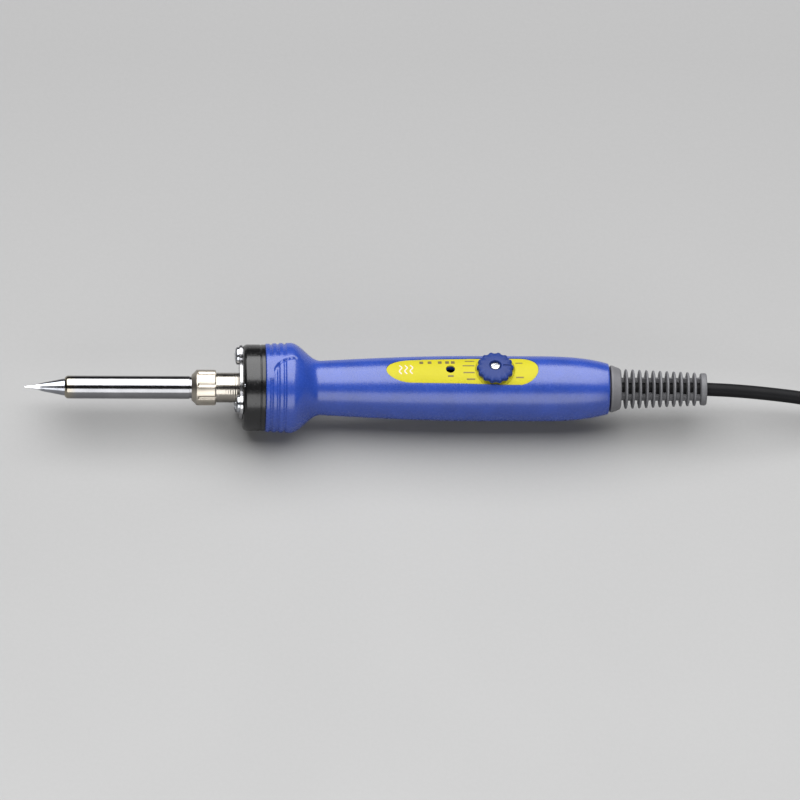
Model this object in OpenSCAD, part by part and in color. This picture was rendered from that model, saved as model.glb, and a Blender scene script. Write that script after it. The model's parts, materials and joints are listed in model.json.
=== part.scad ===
// Temperature-controlled soldering iron: ceramic heater in the tip, dial on the handle, corded.
// The iron's axis runs along X, tip towards -X, dial towards +Z. The flange rests on z = 0.

/* [Handle] */
// Largest radius of the flared front of the handle
flange_r = 14.15; // [13.8:0.05:15]
// Radius of the narrowest place behind the flare
waist_r = 8.55; // [8.4:0.05:9.2]
// Radius of the thickest place of the grip
belly_r = 10.25; // [10.2:0.05:11]
// Radius of the handle's rear end
tail_r = 7.95; // [7.8:0.05:8.6]
// Depth of the three ring grooves in the flare
groove_d = 0.45; // [0.2:0.05:0.6]

/* [Control panel] */
// Half of the width of the yellow inlay near its front end
panel_front_half_w = 4.7; // [4.4:0.05:5]
// Half of the width of the yellow inlay near its rear end
panel_rear_half_w = 5.45; // [5:0.05:5.6]
// Thickness of the inlay
panel_t = 0.6; // [0.5:0.05:0.7]
// Depth of the inlay below the handle's surface
panel_sink = 0.25; // [0.1:0.05:0.35]
// Radius of the lamp's hole
lamp_hole_r = 1.45; // [1.4:0.05:1.6]

/* [Dial] */
// Radius of the temperature dial
dial_r = 5.85; // [5.4:0.05:5.9]
// Number of scallops round the dial
dial_scallops = 14; // [8:1:18]
// Height of the dial's top above the iron's axis
dial_top = 12.1; // [12.1:0.05:12.8]

/* [Hot end] */
// Radius of the stainless tube over the tip
barrel_r = 3.62; // [3.5:0.01:3.8]
// Radius of the nut that holds the tube
nut_r = 5.6; // [5.5:0.1:6]
// Radius of the threaded nipple
nipple_r = 4.75; // [4.7:0.01:4.8]
// Radius of the ceramic heater
heater_r = 1.95; // [1.9:0.01:1.97]
// Radius of the circle that the three plate screws stand on
screw_circle_r = 10; // [9.8:0.1:10.2]

/* [Cord] */
// Diameter of the cord
cord_d = 4.2; // [4:0.1:4.2]
// Number of gaps between the boot's ribs
boot_gaps = 12; // [8:1:12]
// Radius of the boot's tube inside the ribs
boot_core_r = 3.7; // [3.5:0.1:4]
// Width of the plug's body
plug_w = 28; // [26:1:30]
// Thickness of the plug's body
plug_t = 13; // [12:0.5:14]

/* [Hidden] */
$fn = 72;
axis_z = flange_r;
over = 1;

// Places along the axis, from the tip's point to the end of the boot
point_x = -107.5;
mouth_x = -94.8;
nut_front_x = -55;
nut_rear_x = -47.3;
nipple_front_x = -52.05;
barrel_end_x = -55.6;
plate_x = -40;
plate_t = 1;
ring_x = plate_x + plate_t;
handle_x = -31.9;
flare_x = -24.4;
waist_x = -14.6;
belly_x = 34;
belly_end_x = 52;
handle_end_x = 76.4;
boot_end_x = 107.5;

// The handle's outline: a sine rise to the flare, a cosine down to the waist, a quarter sine
// up to the belly, level along it, and a cubic down to the rear end
front_r = flange_r - 0.3;
function part_of(x, x0, x1) = (x - x0) / (x1 - x0);
function outline_r(x) =
    x < flare_x ? front_r + (flange_r - front_r) * sin(90 * part_of(x, handle_x, flare_x))
    : x < waist_x ? waist_r + (flange_r - waist_r) * (1 + cos(180 * part_of(x, flare_x, waist_x))) / 2
    : x < belly_x ? waist_r + (belly_r - waist_r) * sin(90 * part_of(x, waist_x, belly_x))
    : x < belly_end_x ? belly_r
    : belly_r - (belly_r - tail_r) * pow(part_of(x, belly_end_x, handle_end_x), 3);

// Ring grooves of the flare, each half a cosine wave wide
groove_pitch = 2.1;
groove_half_w = 0.55;
groove_first_x = -30.1;
function groove_cut(x, k = 0) =
    k > 2 ? 0
    : let (off = abs(x - groove_first_x - k * groove_pitch))
      (off < groove_half_w ? groove_d * cos(90 * off / groove_half_w) : 0) + groove_cut(x, k + 1);
function handle_r(x) = outline_r(x) - groove_cut(x);
edge_cut = 0.4;
handle_stations = concat(
    [for (x = [handle_x + edge_cut : 0.275 : -24.5]) x],
    [for (x = [-23.5 : 1.3 : -8]) x],
    [for (x = [-6 : 3 : 63]) x],
    [for (x = [65 : 1.5 : 75.5]) x]
);

// Inside of the handle
front_bore_r = 6.6;
cavity_r = 8.2;
cavity_end_x = 72.4;
boot_neck_r = 5.2;

// The board lies level, its top a little above the axis
board_x = 7;
board_end_x = 55;
board_top = 0.4;
board_t = 1.2;
board_w = 13;

// Inlay outline: a long ellipse at the front, a short one at the rear
panel_x = 5.9;
panel_end_x = 53.8;
panel_nose = 9;
panel_heel = 6.5;
panel_steps = 12;
function panel_outline(grow) =
    let (nose = panel_nose + grow, heel = panel_heel + grow)
    let (nose_w = panel_front_half_w + grow, heel_w = panel_rear_half_w + grow)
    concat(
        [for (i = [0 : panel_steps]) let (a = 180 * i / panel_steps)
            [panel_x + panel_nose - nose * sin(a), -nose_w * cos(a)]],
        [for (i = [0 : panel_steps]) let (a = 180 * i / panel_steps)
            [panel_end_x - panel_heel + heel * sin(a), heel_w * cos(a)]]
    );

// Dial, its pit in the handle and its potentiometer
dial_x = 40.1;
pit_r = 6.25;
pit_floor = 9;
pit_lip = 0.3;
pit_floor_w = 7.2;
dial_bottom = 9.9;
spindle_r = 1.9;
spindle_hole_r = 2.2;
spindle_top = 11;
screw_seat = 11.2;
pot_top = 6.4;
lamp_x = 26.05;

// Boot: ribs on a pitch, the gaps cut down to the core tube
boot_pitch = 2.17;
boot_gap_w = 1.2;
boot_first_gap_x = 80.85;
boot_collar_r = 7.4;
boot_rib_r = 6.35;
boot_end_r = 5.1;
boot_bore_r = 2.2;

// Cord hank: two lanes side by side, three layers high, held off the surface by its tie
cord_r = cord_d / 2;
tie_t = 0.6;
hank_x = 198;
hank_run = 80;
lane_r = 12.6;
hank_r = lane_r + 3 * cord_r;
hank_top = tie_t + 3 * cord_d;
tie_x = 238;
tie_w = 4.5;
plug_axis = hank_top + plug_t / 2;
plug_x = 250;
plug_len = 28;
relief_x = 231;

// Cord routes, in mm: from the boot down to the hank, and from the hank to the plug
lead_route = [
    [107.5, 0, axis_z], [114, 0, 14], [121, 0, 13.5], [129, -0.2, 12.6], [137, -0.5, 11.2],
    [145, -1.2, 9.4], [153, -2.7, 7.4], [161, -5, 5.5], [169, -8, 4], [177, -11.2, 3.1],
    [184, -13.8, 2.7], [190, -15.6, 2.7],
];
tail_route = [
    [208, 12.6, 14.2], [198, 12.6, 15.3], [191.7, 10.9, 15.3], [187.1, 6.3, 15.3],
    [185.4, 0, 15.3], [187.1, -6.3, 15.3], [191.7, -10.9, 15.3], [198, -12.6, 15.3],
    [206, -11.9, 15.8], [214, -8.8, 17], [221, -4, 18.4], [226, -1, 19.4],
    [relief_x, 0, plug_axis],
];

// Turns a shape made along Z so that it lies along the iron's axis
module on_axis() translate([0, 0, axis_z]) rotate([0, 90, 0]) children();

// Revolves an outline of [radius, x] points about the iron's axis
module revolve(outline) on_axis() rotate_extrude() polygon(outline);

// Round bar along the axis, with an optional bore
module bar(x0, x1, r, bore = 0) revolve([[bore, x0], [r, x0], [r, x1], [bore, x1]]);

// Places a shape at each of the three plate screws, turned from the top towards -Y
screw_turns = [68, 188, 308];
module at_screws() for (a = screw_turns)
    translate([0, 0, axis_z]) rotate([a, 0, 0]) translate([0, 0, screw_circle_r]) rotate([0, 90, 0])
        children();

function unit(v) = v / norm(v);
function heading(p, i) = unit(p[min(i + 1, len(p) - 1)] - p[max(i - 1, 0)]);

// Sweeps a round tube of the given sides through the points of a route
module tube(p, r, sides) {
    last = len(p) - 1;
    rings = [for (i = [0 : last])
        let (t = heading(p, i), across = unit(cross([0, 0, 1], t)), up = cross(t, across))
        for (k = [0 : sides - 1]) let (a = 360 * k / sides)
            p[i] + r * (cos(a) * across + sin(a) * up)];
    walls = [for (i = [0 : last - 1], k = [0 : sides - 1])
        let (a = i * sides + k, b = i * sides + (k + 1) % sides)
        [a, a + sides, b + sides, b]];
    start = [[for (k = [0 : sides - 1]) k]];
    end = [[for (k = [sides - 1 : -1 : 0]) last * sides + k]];
    polyhedron(rings, concat(start, walls, end), convexity = 10);
}

// Outside of the handle, drawn in by a depth; flat where no detail is wanted
module handle_form(depth, stations) {
    first = stations[0];
    last = stations[len(stations) - 1];
    revolve(concat([[0, first]], [for (x = stations) [outline_r(x) - depth, x]], [[0, last]]));
}

module panel_column(grow) translate([0, 0, axis_z + 5]) linear_extrude(10)
    polygon(panel_outline(grow));
panel_stations = [for (x = [3 : 4.5 : 57]) x];

module handle_shell() color("royalblue") {
    difference() {
        revolve(concat(
            [[0, handle_x], [outline_r(handle_x) - edge_cut, handle_x]],
            [for (x = handle_stations) [handle_r(x), x]],
            [[tail_r - edge_cut, handle_end_x], [0, handle_end_x]]
        ));
        // Cavity: narrow bore through the waist, wide room for the board, step for the boot
        revolve([
            [0, handle_x - over], [front_bore_r, handle_x - over], [front_bore_r, -10],
            [7.4, 6], [cavity_r, 16], [cavity_r, 60], [6.8, cavity_end_x],
            [boot_neck_r, cavity_end_x], [boot_neck_r, handle_end_x + over],
            [0, handle_end_x + over],
        ]);
        difference() {
            panel_column(0.1);
            handle_form(panel_sink + panel_t, panel_stations);
        }
        at_dial(pit_floor) cylinder(h = 4, r = pit_r);
        dial_floor(4);
        at_dial(5) cylinder(h = 6, r = spindle_hole_r);
        translate([lamp_x, 0, axis_z + 5]) cylinder(h = 6, r = lamp_hole_r);
        at_screws() translate([0, 0, handle_x - over]) cylinder(h = 8, r = 1.5);
    }
    for (side = [-1, 1]) board_rail(side);
}

// Places a shape on the dial's axis, at a height above the iron's axis
module at_dial(z) translate([dial_x, 0, axis_z + z]) children();

// Floor of the dial's pit, of a thickness, trimmed to lie under the inlay
module dial_floor(t) at_dial(pit_floor) intersection() {
    cylinder(h = t, r = pit_r + pit_lip);
    translate([-10, -pit_floor_w / 2, -over]) cube([20, pit_floor_w, t + 2 * over]);
}

// Ledge that the board rests on
module board_rail(side) intersection() {
    translate([10, side > 0 ? 5.9 : -8.9, axis_z + board_top - board_t - 1.6]) cube([48, 3, 1.6]);
    bar(9, 59, cavity_r + 0.4);
}

module front_ring() color("#202022") difference() {
    revolve([
        [7, ring_x], [12.5, ring_x], [13.2, ring_x + 0.35], [13.6, ring_x + 1.2],
        [13.6, handle_x], [7, handle_x],
    ]);
    at_screws() translate([0, 0, ring_x - over]) cylinder(h = 10, r = 1.5);
    pin_form(pin_r + over);
}

// Radial pin near the ring's front edge, out to a radius
pin_x = -38.25;
pin_seat_r = 10.6;
pin_r = 13.35;
module pin_form(out_r) translate([pin_x, 0, axis_z]) rotate([35, 0, 0])
    translate([0, 0, pin_seat_r]) cylinder(h = out_r - pin_seat_r, r = 0.7);

module ring_pin() color("silver") pin_form(pin_r);

module flange_plate() color("silver") difference() {
    union() {
        bar(plate_x, ring_x, 9.9);
        at_screws() translate([0, 0, plate_x]) cylinder(h = plate_t, r = 3.4);
    }
    bar(plate_x - over, ring_x + over, nipple_r + 0.05);
    at_screws() translate([0, 0, plate_x - over]) cylinder(h = plate_t + 2 * over, r = 1.5);
}

module flange_screws() color("gainsboro") at_screws() translate([0, 0, plate_x]) difference() {
    union() {
        cylinder(h = 12, r = 1.4);
        rotate([180, 0, 0]) rotate_extrude() polygon([
            [0, 0], [2.8, 0], [2.8, 0.6], [2.4, 1.2], [1.7, 1.5], [0, 1.5],
        ]);
    }
    for (turn = [0, 90]) rotate([0, 0, turn]) translate([-1.5, -0.3, -1.6]) cube([3, 0.6, 0.9]);
}

module nipple() color("silver") revolve([
    [3.3, nipple_front_x], [nipple_r - 0.3, nipple_front_x], [nipple_r, nipple_front_x + 0.3],
    [nipple_r, ring_x], [6.4, ring_x], [6.4, ring_x + 1.4], [3.3, ring_x + 1.4],
]);

module heater_element() color("white") bar(-97.2, -34, heater_r);

module heater_collar() color("ivory") bar(-37.6, -34.6, 5, heater_r);

module wave_washer() color("silver") bar(-34.6, -33.4, 4.6, 2.7);

module insulating_disc() color("wheat") bar(-33.4, handle_x, 6.8, 2.2);

// Four leads: out of the heater's end, apart towards the board, down on to its pads
module heater_leads() color("orangered") for (k = [0 : 3]) {
    y0 = k < 2 ? -0.9 : 0.9;
    z0 = k == 1 || k == 2 ? 0.9 : -0.9;
    y1 = -3.6 + 2.4 * k;
    tube([for (q = [
        [-34, y0, z0], [-24, y0, z0], [-12, 1.4 * y0, z0 + 0.2], [-4, 0.6 * y1, 0.7 * z0 + 0.6],
        [3, 0.9 * y1, 1.3], [7, y1, 1.2], [10, y1, board_top + 0.5],
    ]) q + [0, 0, axis_z]], 0.5, 8);
}

// Box on the board, by its corner and size, z measured from the axis
module block(corner, size) translate(corner + [0, 0, axis_z]) cube(size);

module circuit_board() color("darkgreen") difference() {
    block([board_x, -board_w / 2, board_top - board_t], [board_end_x - board_x, board_w, board_t]);
    for (x = [board_x + 2, board_end_x - 2]) translate([x, -5, axis_z - over]) cylinder(h = 3, r = 0.6);
}

module control_chip() color("#2a2a2a") {
    block([12, -3.2, board_top + 0.5], [9.8, 6.4, 3.2]);
    for (i = [0 : 3], side = [-1, 1])
        block([12.9 + 2.2 * i, side > 0 ? 3.2 : -3.8, board_top], [0.6, 0.6, 2.2]);
}

module triac() color("#303030") block([40, -4, board_top - board_t - 3], [10, 8, 3]);

module film_capacitor() color("goldenrod") block([46.5, -5, board_top], [5, 10, 5.4]);

module smoothing_capacitor() color("navy")
    translate([14, 0, axis_z + board_top - board_t - 2.5]) rotate([0, 90, 0]) cylinder(h = 10, r = 2.5);

module dropper_resistor() color("tan")
    translate([32, -3.5, axis_z + board_top + 1.5]) rotate([-90, 0, 0]) cylinder(h = 7, r = 1.5);

module potentiometer() color("steelblue") difference() {
    block([dial_x - 4.75, -4.75, board_top], [9.5, 9.5, pot_top - board_top]);
    at_dial(1.5) cylinder(h = 6, r = spindle_r + 0.06);
}

module indicator_led() color("#20205a") translate([lamp_x, 0, axis_z]) {
    translate([0, 0, 3.6]) rotate_extrude() polygon(concat(
        [[0, 0], [1.7, 0], [1.7, 0.8], [1.35, 0.8]],
        [for (a = [0 : 15 : 90]) [1.35 * cos(a), 4.4 + 1.2 * sin(a)]]
    ));
    for (y = [-0.9, 0.9]) translate([0, y, board_top]) cylinder(h = 3.4, r = 0.25);
}

module control_panel() color("yellow") {
    difference() {
        intersection() {
            panel_column(0);
            handle_form(panel_sink, panel_stations);
        }
        handle_form(panel_sink + panel_t, panel_stations);
        at_dial(5) cylinder(h = 8, r = pit_r);
        translate([lamp_x, 0, axis_z + 5]) cylinder(h = 8, r = lamp_hole_r);
    }
    difference() {
        dial_floor(panel_t);
        at_dial(5) cylinder(h = 8, r = spindle_hole_r);
    }
}

function boot_rib(x) = boot_rib_r
    + (boot_end_r - boot_rib_r) * part_of(x, boot_first_gap_x, boot_end_x);
function boot_gap_x(i) = boot_first_gap_x + i * boot_pitch;

// Windows through the core in one gap: two opposite ones, turned in every other gap
module boot_windows(i) {
    sweep = i % 2 == 0 ? 130 : 100;
    middle = i % 2 == 0 ? 170 : 207;
    for (twin = [0, 180]) translate([boot_gap_x(i) - boot_gap_w / 2, 0, axis_z]) rotate([0, 90, 0])
        rotate([0, 0, middle + twin - sweep / 2]) rotate_extrude(angle = sweep)
            translate([boot_bore_r - 0.5, 0]) square([3, boot_gap_w]);
}

module cord_boot() color("dimgray") difference() {
    revolve(concat(
        [[boot_bore_r, 70.4], [6.6, 70.4], [6.6, cavity_end_x], [boot_neck_r, cavity_end_x],
         [boot_neck_r, handle_end_x], [boot_collar_r, handle_end_x + 0.3],
         [boot_collar_r, 77.6], [boot_rib_r, boot_first_gap_x - boot_gap_w / 2]],
        [for (i = [0 : boot_gaps - 1], edge = [-1, 1], out = [-edge, edge])
            let (x = boot_gap_x(i) + edge * boot_gap_w / 2)
            [out > 0 ? boot_rib(x) : boot_core_r, x]],
        [[boot_end_r, boot_end_x - 0.6], [boot_end_r - 0.6, boot_end_x], [boot_bore_r, boot_end_x]]
    ));
    for (i = [0 : boot_gaps - 1]) boot_windows(i);
}

module cord_clamp() color("silver") bar(65.6, 70.4, 3.6, cord_r);

module cord_entry() color("#222222") bar(58, boot_end_x, cord_r);

// One conductor from the end of the cord's jacket to the board
module conductor(side) tube([for (q = [
    [58, side, 0], [56.6, 1.3 * side, 0.7], [55, 1.9 * side, 1.4], [53.4, 2.4 * side, 1.3],
    [52.2, 2.6 * side, board_top + 0.6],
]) q + [0, 0, axis_z]], 0.6, 8);

module live_wire() color("black") conductor(1);

module neutral_wire() color("white") conductor(-1);

module cord_lead() color("#222222") tube(lead_route, cord_r, 12);

// Outline of the hank, grown by the tie's thickness where asked
module hank_outline(grow) {
    translate([hank_x, -hank_r - grow]) square([hank_run, 2 * (hank_r + grow)]);
    for (x = [hank_x, hank_x + hank_run]) translate([x, 0]) circle(r = hank_r + grow);
}

module cord_hank() color("#2a2a2a") translate([0, 0, tie_t])
    linear_extrude(hank_top - tie_t) hank_outline(0);

module cord_tail() color("#222222") tube(tail_route, cord_r, 12);

module hank_tie() color("dimgray") difference() {
    translate([tie_x - tie_w / 2, -hank_r - tie_t, 0])
        cube([tie_w, 2 * (hank_r + tie_t), hank_top + tie_t]);
    translate([tie_x - tie_w, -hank_r, tie_t]) cube([2 * tie_w, 2 * hank_r, hank_top - tie_t]);
}

// Raises a shape made about the iron's axis to the plug's axis
module on_plug() translate([0, 0, plug_axis - axis_z]) children();

module plug_relief() color("#222222") on_plug() revolve(concat(
    [[0, relief_x], [2.9, relief_x]],
    [for (i = [0 : 3]) let (x = relief_x + 2.4 + 4 * i, r = 3.1 + 0.4 * i)
        for (q = [[r, x], [r - 0.7, x + 0.1], [r - 0.7, x + 1.3], [r, x + 1.4]]) q],
    [[4.9, plug_x], [0, plug_x]]
));

// Rounded rectangle across X, drawn in from the plug's full width and thickness
module plug_section(x, t, inset) translate([x, 0, plug_axis]) rotate([90, 0, 90])
    linear_extrude(t) {
        w = plug_w - 2 * inset;
        h = plug_t - 2 * inset;
        r = 2;
        square([w - 2 * r, h], center = true);
        square([w, h - 2 * r], center = true);
        for (sy = [-1, 1], sz = [-1, 1]) translate([sy * (w / 2 - r), sz * (h / 2 - r)]) circle(r = r);
    }

module plug_body() color("#222222") {
    plug_section(plug_x + 5, plug_len - 5, 0);
    hull() {
        plug_section(plug_x, 0.2, 1.6, $fn = 24);
        plug_section(plug_x + 4.9, 0.1, 0, $fn = 24);
    }
}

// Flat blades with a hole near the end, their sides facing each other
module plug_blades() color("gold") for (y = [-6.35, 6.35])
    translate([plug_x + plug_len, y + 0.75, plug_axis]) rotate([90, 0, 0]) linear_extrude(1.5)
        difference() {
            polygon([[0, -3.15], [15.6, -3.15], [17, -2], [17, 2], [15.6, 3.15], [0, 3.15]]);
            translate([12.2, 0]) circle(r = 1.6);
        }

module dial_spindle() color("silver") at_dial(0) difference() {
    translate([0, 0, 1.7]) cylinder(h = spindle_top - 1.7, r = spindle_r);
    translate([0, 0, 7.8]) cylinder(h = 4, r = 0.65);
}

module dial_knob() color("mediumblue") at_dial(0) difference() {
    rotate_extrude() polygon([
        [0, dial_bottom], [dial_r - 0.1, dial_bottom], [dial_r, dial_bottom + 0.2],
        [dial_r - 0.15, dial_top - 0.7], [dial_r - 0.8, dial_top], [0, dial_top],
    ]);
    translate([0, 0, 5]) cylinder(h = spindle_top - 5, r = spindle_r);
    translate([0, 0, 5]) cylinder(h = 7, r = 0.7);
    translate([0, 0, screw_seat]) cylinder(h = 5, r = 1.8);
    for (k = [0 : dial_scallops - 1]) rotate([0, 0, (k + 0.5) * 360 / dial_scallops])
        translate([dial_r + 0.95, 0, dial_bottom - over]) cylinder(h = 6, r = 1.35);
    translate([2.6, -0.3, dial_top - 0.35]) cube([2.2, 0.6, 1]);
}

module dial_screw() color("gainsboro") at_dial(0) difference() {
    union() {
        translate([0, 0, 8]) cylinder(h = 3.6, r = 0.6);
        translate([0, 0, screw_seat]) cylinder(h = 0.75, r = 1.5);
    }
    translate([-2, -0.2, screw_seat + 0.4]) cube([4, 0.4, 1]);
}

module soldering_tip() color("silver") revolve([
    [0, point_x], [0.2, point_x], [0.75, -104.3], [1.15, -102.5], [1.45, -101.4], [1.8, -99.5],
    [2.15, -97.7], [2.55, -95.8], [2.7, mouth_x], [2.7, -93.7], [3.05, -93.6],
    [3.05, -52.3], [heater_r + 0.08, -52.3], [heater_r + 0.08, -98], [0, -98.6],
]);

// Tube over the tip, with a groove in front of the nut and a flange that the nut pulls on
groove_depth = 0.2;
groove_w = 0.7;
module tip_enclosure() color("gainsboro") revolve([
    [2.8, mouth_x], [2.95, mouth_x], [3.5, mouth_x + 0.6], [barrel_r, mouth_x + 0.9],
    [barrel_r, barrel_end_x], [barrel_r - groove_depth, barrel_end_x],
    [barrel_r - groove_depth, barrel_end_x + groove_w], [barrel_r, barrel_end_x + groove_w],
    [barrel_r, -53], [4.5, -53], [4.5, -52.15], [3.15, -52.15], [3.15, -93.4], [2.8, -94],
]);

module enclosure_nut() color("silver") difference() {
    revolve([
        [barrel_r + 0.08, nut_front_x], [barrel_r + 0.35, nut_front_x], [5.2, -53.75],
        [nut_r - 0.15, -53.6], [nut_r, -53.4], [nut_r, nut_rear_x - 0.4],
        [nut_r - 0.3, nut_rear_x], [nipple_r + 0.07, nut_rear_x], [nipple_r + 0.07, -53.1],
        [barrel_r + 0.08, -53.1],
    ]);
    for (k = [0 : 7]) on_axis() rotate([0, 0, 45 * k]) translate([nut_r + 0.35, 0, -53])
        cylinder(h = 6, r = 0.8);
}

handle_shell();
front_ring();
ring_pin();
flange_plate();
flange_screws();
nipple();
heater_element();
heater_collar();
wave_washer();
insulating_disc();
heater_leads();
circuit_board();
control_chip();
triac();
film_capacitor();
smoothing_capacitor();
dropper_resistor();
potentiometer();
indicator_led();
control_panel();
cord_boot();
cord_clamp();
cord_entry();
live_wire();
neutral_wire();
cord_lead();
cord_hank();
cord_tail();
hank_tie();
plug_relief();
plug_body();
plug_blades();
dial_spindle();
dial_knob();
dial_screw();
soldering_tip();
tip_enclosure();
enclosure_nut();
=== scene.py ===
"""Looks of a corded soldering iron with a temperature dial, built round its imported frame.

Lengths are written in millimetres and turned to metres as a mesh is made. The iron's axis lies along X
at a height of AXIS, its tip towards -X and its dial towards +Z. A turn is an angle round that axis,
from +Z towards -Y.
"""

import json
import logging
import math
from collections.abc import Callable, Sequence
from dataclasses import dataclass, field, replace
from enum import Enum
from typing import NamedTuple

import bpy
import numpy as np
from mathutils import Matrix


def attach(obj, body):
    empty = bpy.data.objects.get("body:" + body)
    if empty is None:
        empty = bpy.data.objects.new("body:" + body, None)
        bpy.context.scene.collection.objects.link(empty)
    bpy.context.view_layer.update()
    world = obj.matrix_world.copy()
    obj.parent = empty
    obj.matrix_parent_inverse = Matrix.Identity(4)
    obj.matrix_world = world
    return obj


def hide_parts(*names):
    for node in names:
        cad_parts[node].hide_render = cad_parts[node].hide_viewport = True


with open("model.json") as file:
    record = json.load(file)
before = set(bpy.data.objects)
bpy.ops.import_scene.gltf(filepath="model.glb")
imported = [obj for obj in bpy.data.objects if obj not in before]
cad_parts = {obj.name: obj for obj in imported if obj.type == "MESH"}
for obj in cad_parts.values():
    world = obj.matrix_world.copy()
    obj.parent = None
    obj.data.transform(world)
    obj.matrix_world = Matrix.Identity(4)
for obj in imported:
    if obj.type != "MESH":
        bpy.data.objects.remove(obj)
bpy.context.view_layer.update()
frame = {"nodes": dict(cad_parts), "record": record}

MM = 0.001
AXIS = 14.15
LOG = logging.getLogger("iron")

Array = np.ndarray
Surface = tuple[Array, Sequence[Array]]
Shape = Callable[[Array, Array, Array], tuple[Array, Array]]
Thing = bpy.types.Object
Tree = bpy.types.NodeTree
Socket = bpy.types.NodeSocket


# ---------------------------------------------------------------- shapes


@dataclass(frozen=True)
class Axes:
    """A place and three directions: along a turned piece, and the two from which its turns count."""

    origin: tuple[float, float, float]
    along: tuple[float, float, float]
    up: tuple[float, float, float]
    side: tuple[float, float, float]

    def at(self, x: Array, r: Array, turn: Array) -> Array:
        """Points at x along the axis and r out from it: origin + x along + r (cos turn up + sin turn
        side).

        Args:
            x: Distances along the axis.
            r: Radii.
            turn: Angles in radians. The three broadcast together.

        Returns:
            Points, with one more dimension than the inputs.
        """
        x, r, turn = np.broadcast_arrays(x, r, turn)
        up, side = np.array(self.up), np.array(self.side)
        across = np.cos(turn)[..., None] * up + np.sin(turn)[..., None] * side
        return np.array(self.origin) + x[..., None] * np.array(self.along) + r[..., None] * across


IRON = Axes((0, 0, AXIS), (1, 0, 0), (0, 0, 1), (0, -1, 0))


def upright(x: float) -> Axes:
    """An upright axis that crosses the iron's own at x, its turns counted from +X."""
    return Axes((x, 0, AXIS), (0, 0, 1), (1, 0, 0), (0, 1, 0))


def smooth_step(t: Array) -> Array:
    """Rises from 0 to 1 as t does, level at both ends: 3 t^2 - 2 t^3.

    Args:
        t: Any numbers; those outside 0 to 1 are clipped.

    Returns:
        The eased numbers.
    """
    t = np.clip(t, 0, 1)
    return t * t * (3 - 2 * t)


def volume_of(points: Array, faces: Sequence[Array]) -> float:
    """Signed volume inside closed faces: a sixth of the sum of p0 . (p1 x p2) over fans of triangles.

    Args:
        points: Vertices, (n, 3).
        faces: Arrays of vertex numbers, each (k, 3) or (k, 4).

    Returns:
        The volume, negative where the faces point inwards.
    """
    total = 0.0
    for group in faces:
        for i in range(1, group.shape[1] - 1):
            p0, p1, p2 = (points[group[:, j]] for j in (0, i, i + 1))
            total += float((p0 * np.cross(p1, p2)).sum()) / 6
    return total


def make_mesh(name: str, points: Array, faces: Sequence[Array], sharp: float = 50.0) -> Thing:
    """Puts a closed surface into a new object, pointing outwards and smooth but for its sharp edges.

    Args:
        name: Name of the piece.
        points: Vertices in millimetres, (n, 3).
        faces: Arrays of vertex numbers, each (k, 3) or (k, 4).
        sharp: Angle in degrees past which an edge stays sharp.

    Returns:
        The object, at the origin.
    """
    if volume_of(points - points.mean(0), faces) < 0:
        faces = [group[:, ::-1] for group in faces]
    mesh = bpy.data.meshes.new(name)
    rows = [face for group in faces for face in group.tolist()]
    mesh.from_pydata((points * MM).tolist(), [], rows)
    mesh.polygons.foreach_set("use_smooth", np.ones(len(mesh.polygons), bool))
    mesh.set_sharp_from_angle(angle=math.radians(sharp))
    mesh.update()
    thing = bpy.data.objects.new(name, mesh)
    bpy.context.scene.collection.objects.link(thing)
    return thing


def joined(parts: Sequence[Surface]) -> Surface:
    """Puts several surfaces together, each one's vertex numbers moved past those before it.

    Args:
        parts: Pairs of points and faces.

    Returns:
        All points and all faces.
    """
    starts = np.cumsum([0] + [len(points) for points, _ in parts])
    faces = [group + start for (_, groups), start in zip(parts, starts) for group in groups]
    return np.concatenate([points for points, _ in parts]), faces


def skin(rings: Array, closed: bool = False) -> Surface:
    """Skins a stack of rings: quads between neighbours, and a fan to the middle of each end ring.

    Args:
        rings: Points, (rings, points in a ring, 3).
        closed: Whether the last ring joins the first instead of ending in fans.

    Returns:
        Points and faces of a closed surface.
    """
    n, m, _ = rings.shape
    number = np.arange(n * m).reshape(n, m)
    rows = np.concatenate([number, number[:1]]) if closed else number
    beside = np.roll(rows, -1, axis=1)
    quads = np.stack([rows[:-1], beside[:-1], beside[1:], rows[1:]], axis=-1).reshape(-1, 4)
    points = rings.reshape(-1, 3)
    if closed:
        return points, [quads]
    ends = np.stack([rings[0].mean(0), rings[-1].mean(0)])
    first, last = number[0], number[-1]
    start_fan = np.stack([np.full(m, n * m), np.roll(first, -1), first], axis=-1)
    end_fan = np.stack([np.full(m, n * m + 1), last, np.roll(last, -1)], axis=-1)
    return np.concatenate([points, ends]), [quads, start_fan, end_fan]


def eased(
    outline: Sequence[tuple[float, float]], radius: float, closed: bool = False, steps: int = 5
) -> Array:
    """Rounds an outline's corners: each becomes the curve (1-t)^2 a + 2t(1-t) corner + t^2 b between
    points a and b on its two sides, with a shoulder point just before and after, so that the flats
    beside it stay flat.

    Args:
        outline: Corners as (along, radius) pairs.
        radius: How far from a corner its curve starts, less on short sides.
        closed: Whether the last corner joins the first.
        steps: Points on each curve.

    Returns:
        The rounded outline, (points, 2).
    """
    p = np.array(outline, float)
    before, after = np.roll(p, 1, axis=0) - p, np.roll(p, -1, axis=0) - p
    cut = [np.minimum(radius, 0.4 * np.linalg.norm(v, axis=1)) for v in (before, after)]
    cut = np.minimum(*cut)[:, None, None]
    a, b = (v[:, None] / np.linalg.norm(v, axis=1)[:, None, None] * cut for v in (before, after))
    t = np.linspace(0, 1, steps)[None, :, None]
    curves = p[:, None] + (1 - t) ** 2 * a + t**2 * b
    curves = np.concatenate([p[:, None] + 1.2 * a, curves, p[:, None] + 1.2 * b], axis=1)
    if closed:
        return curves.reshape(-1, 2)
    return np.concatenate([p[:1], curves[1:-1].reshape(-1, 2), p[-1:]])


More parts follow.
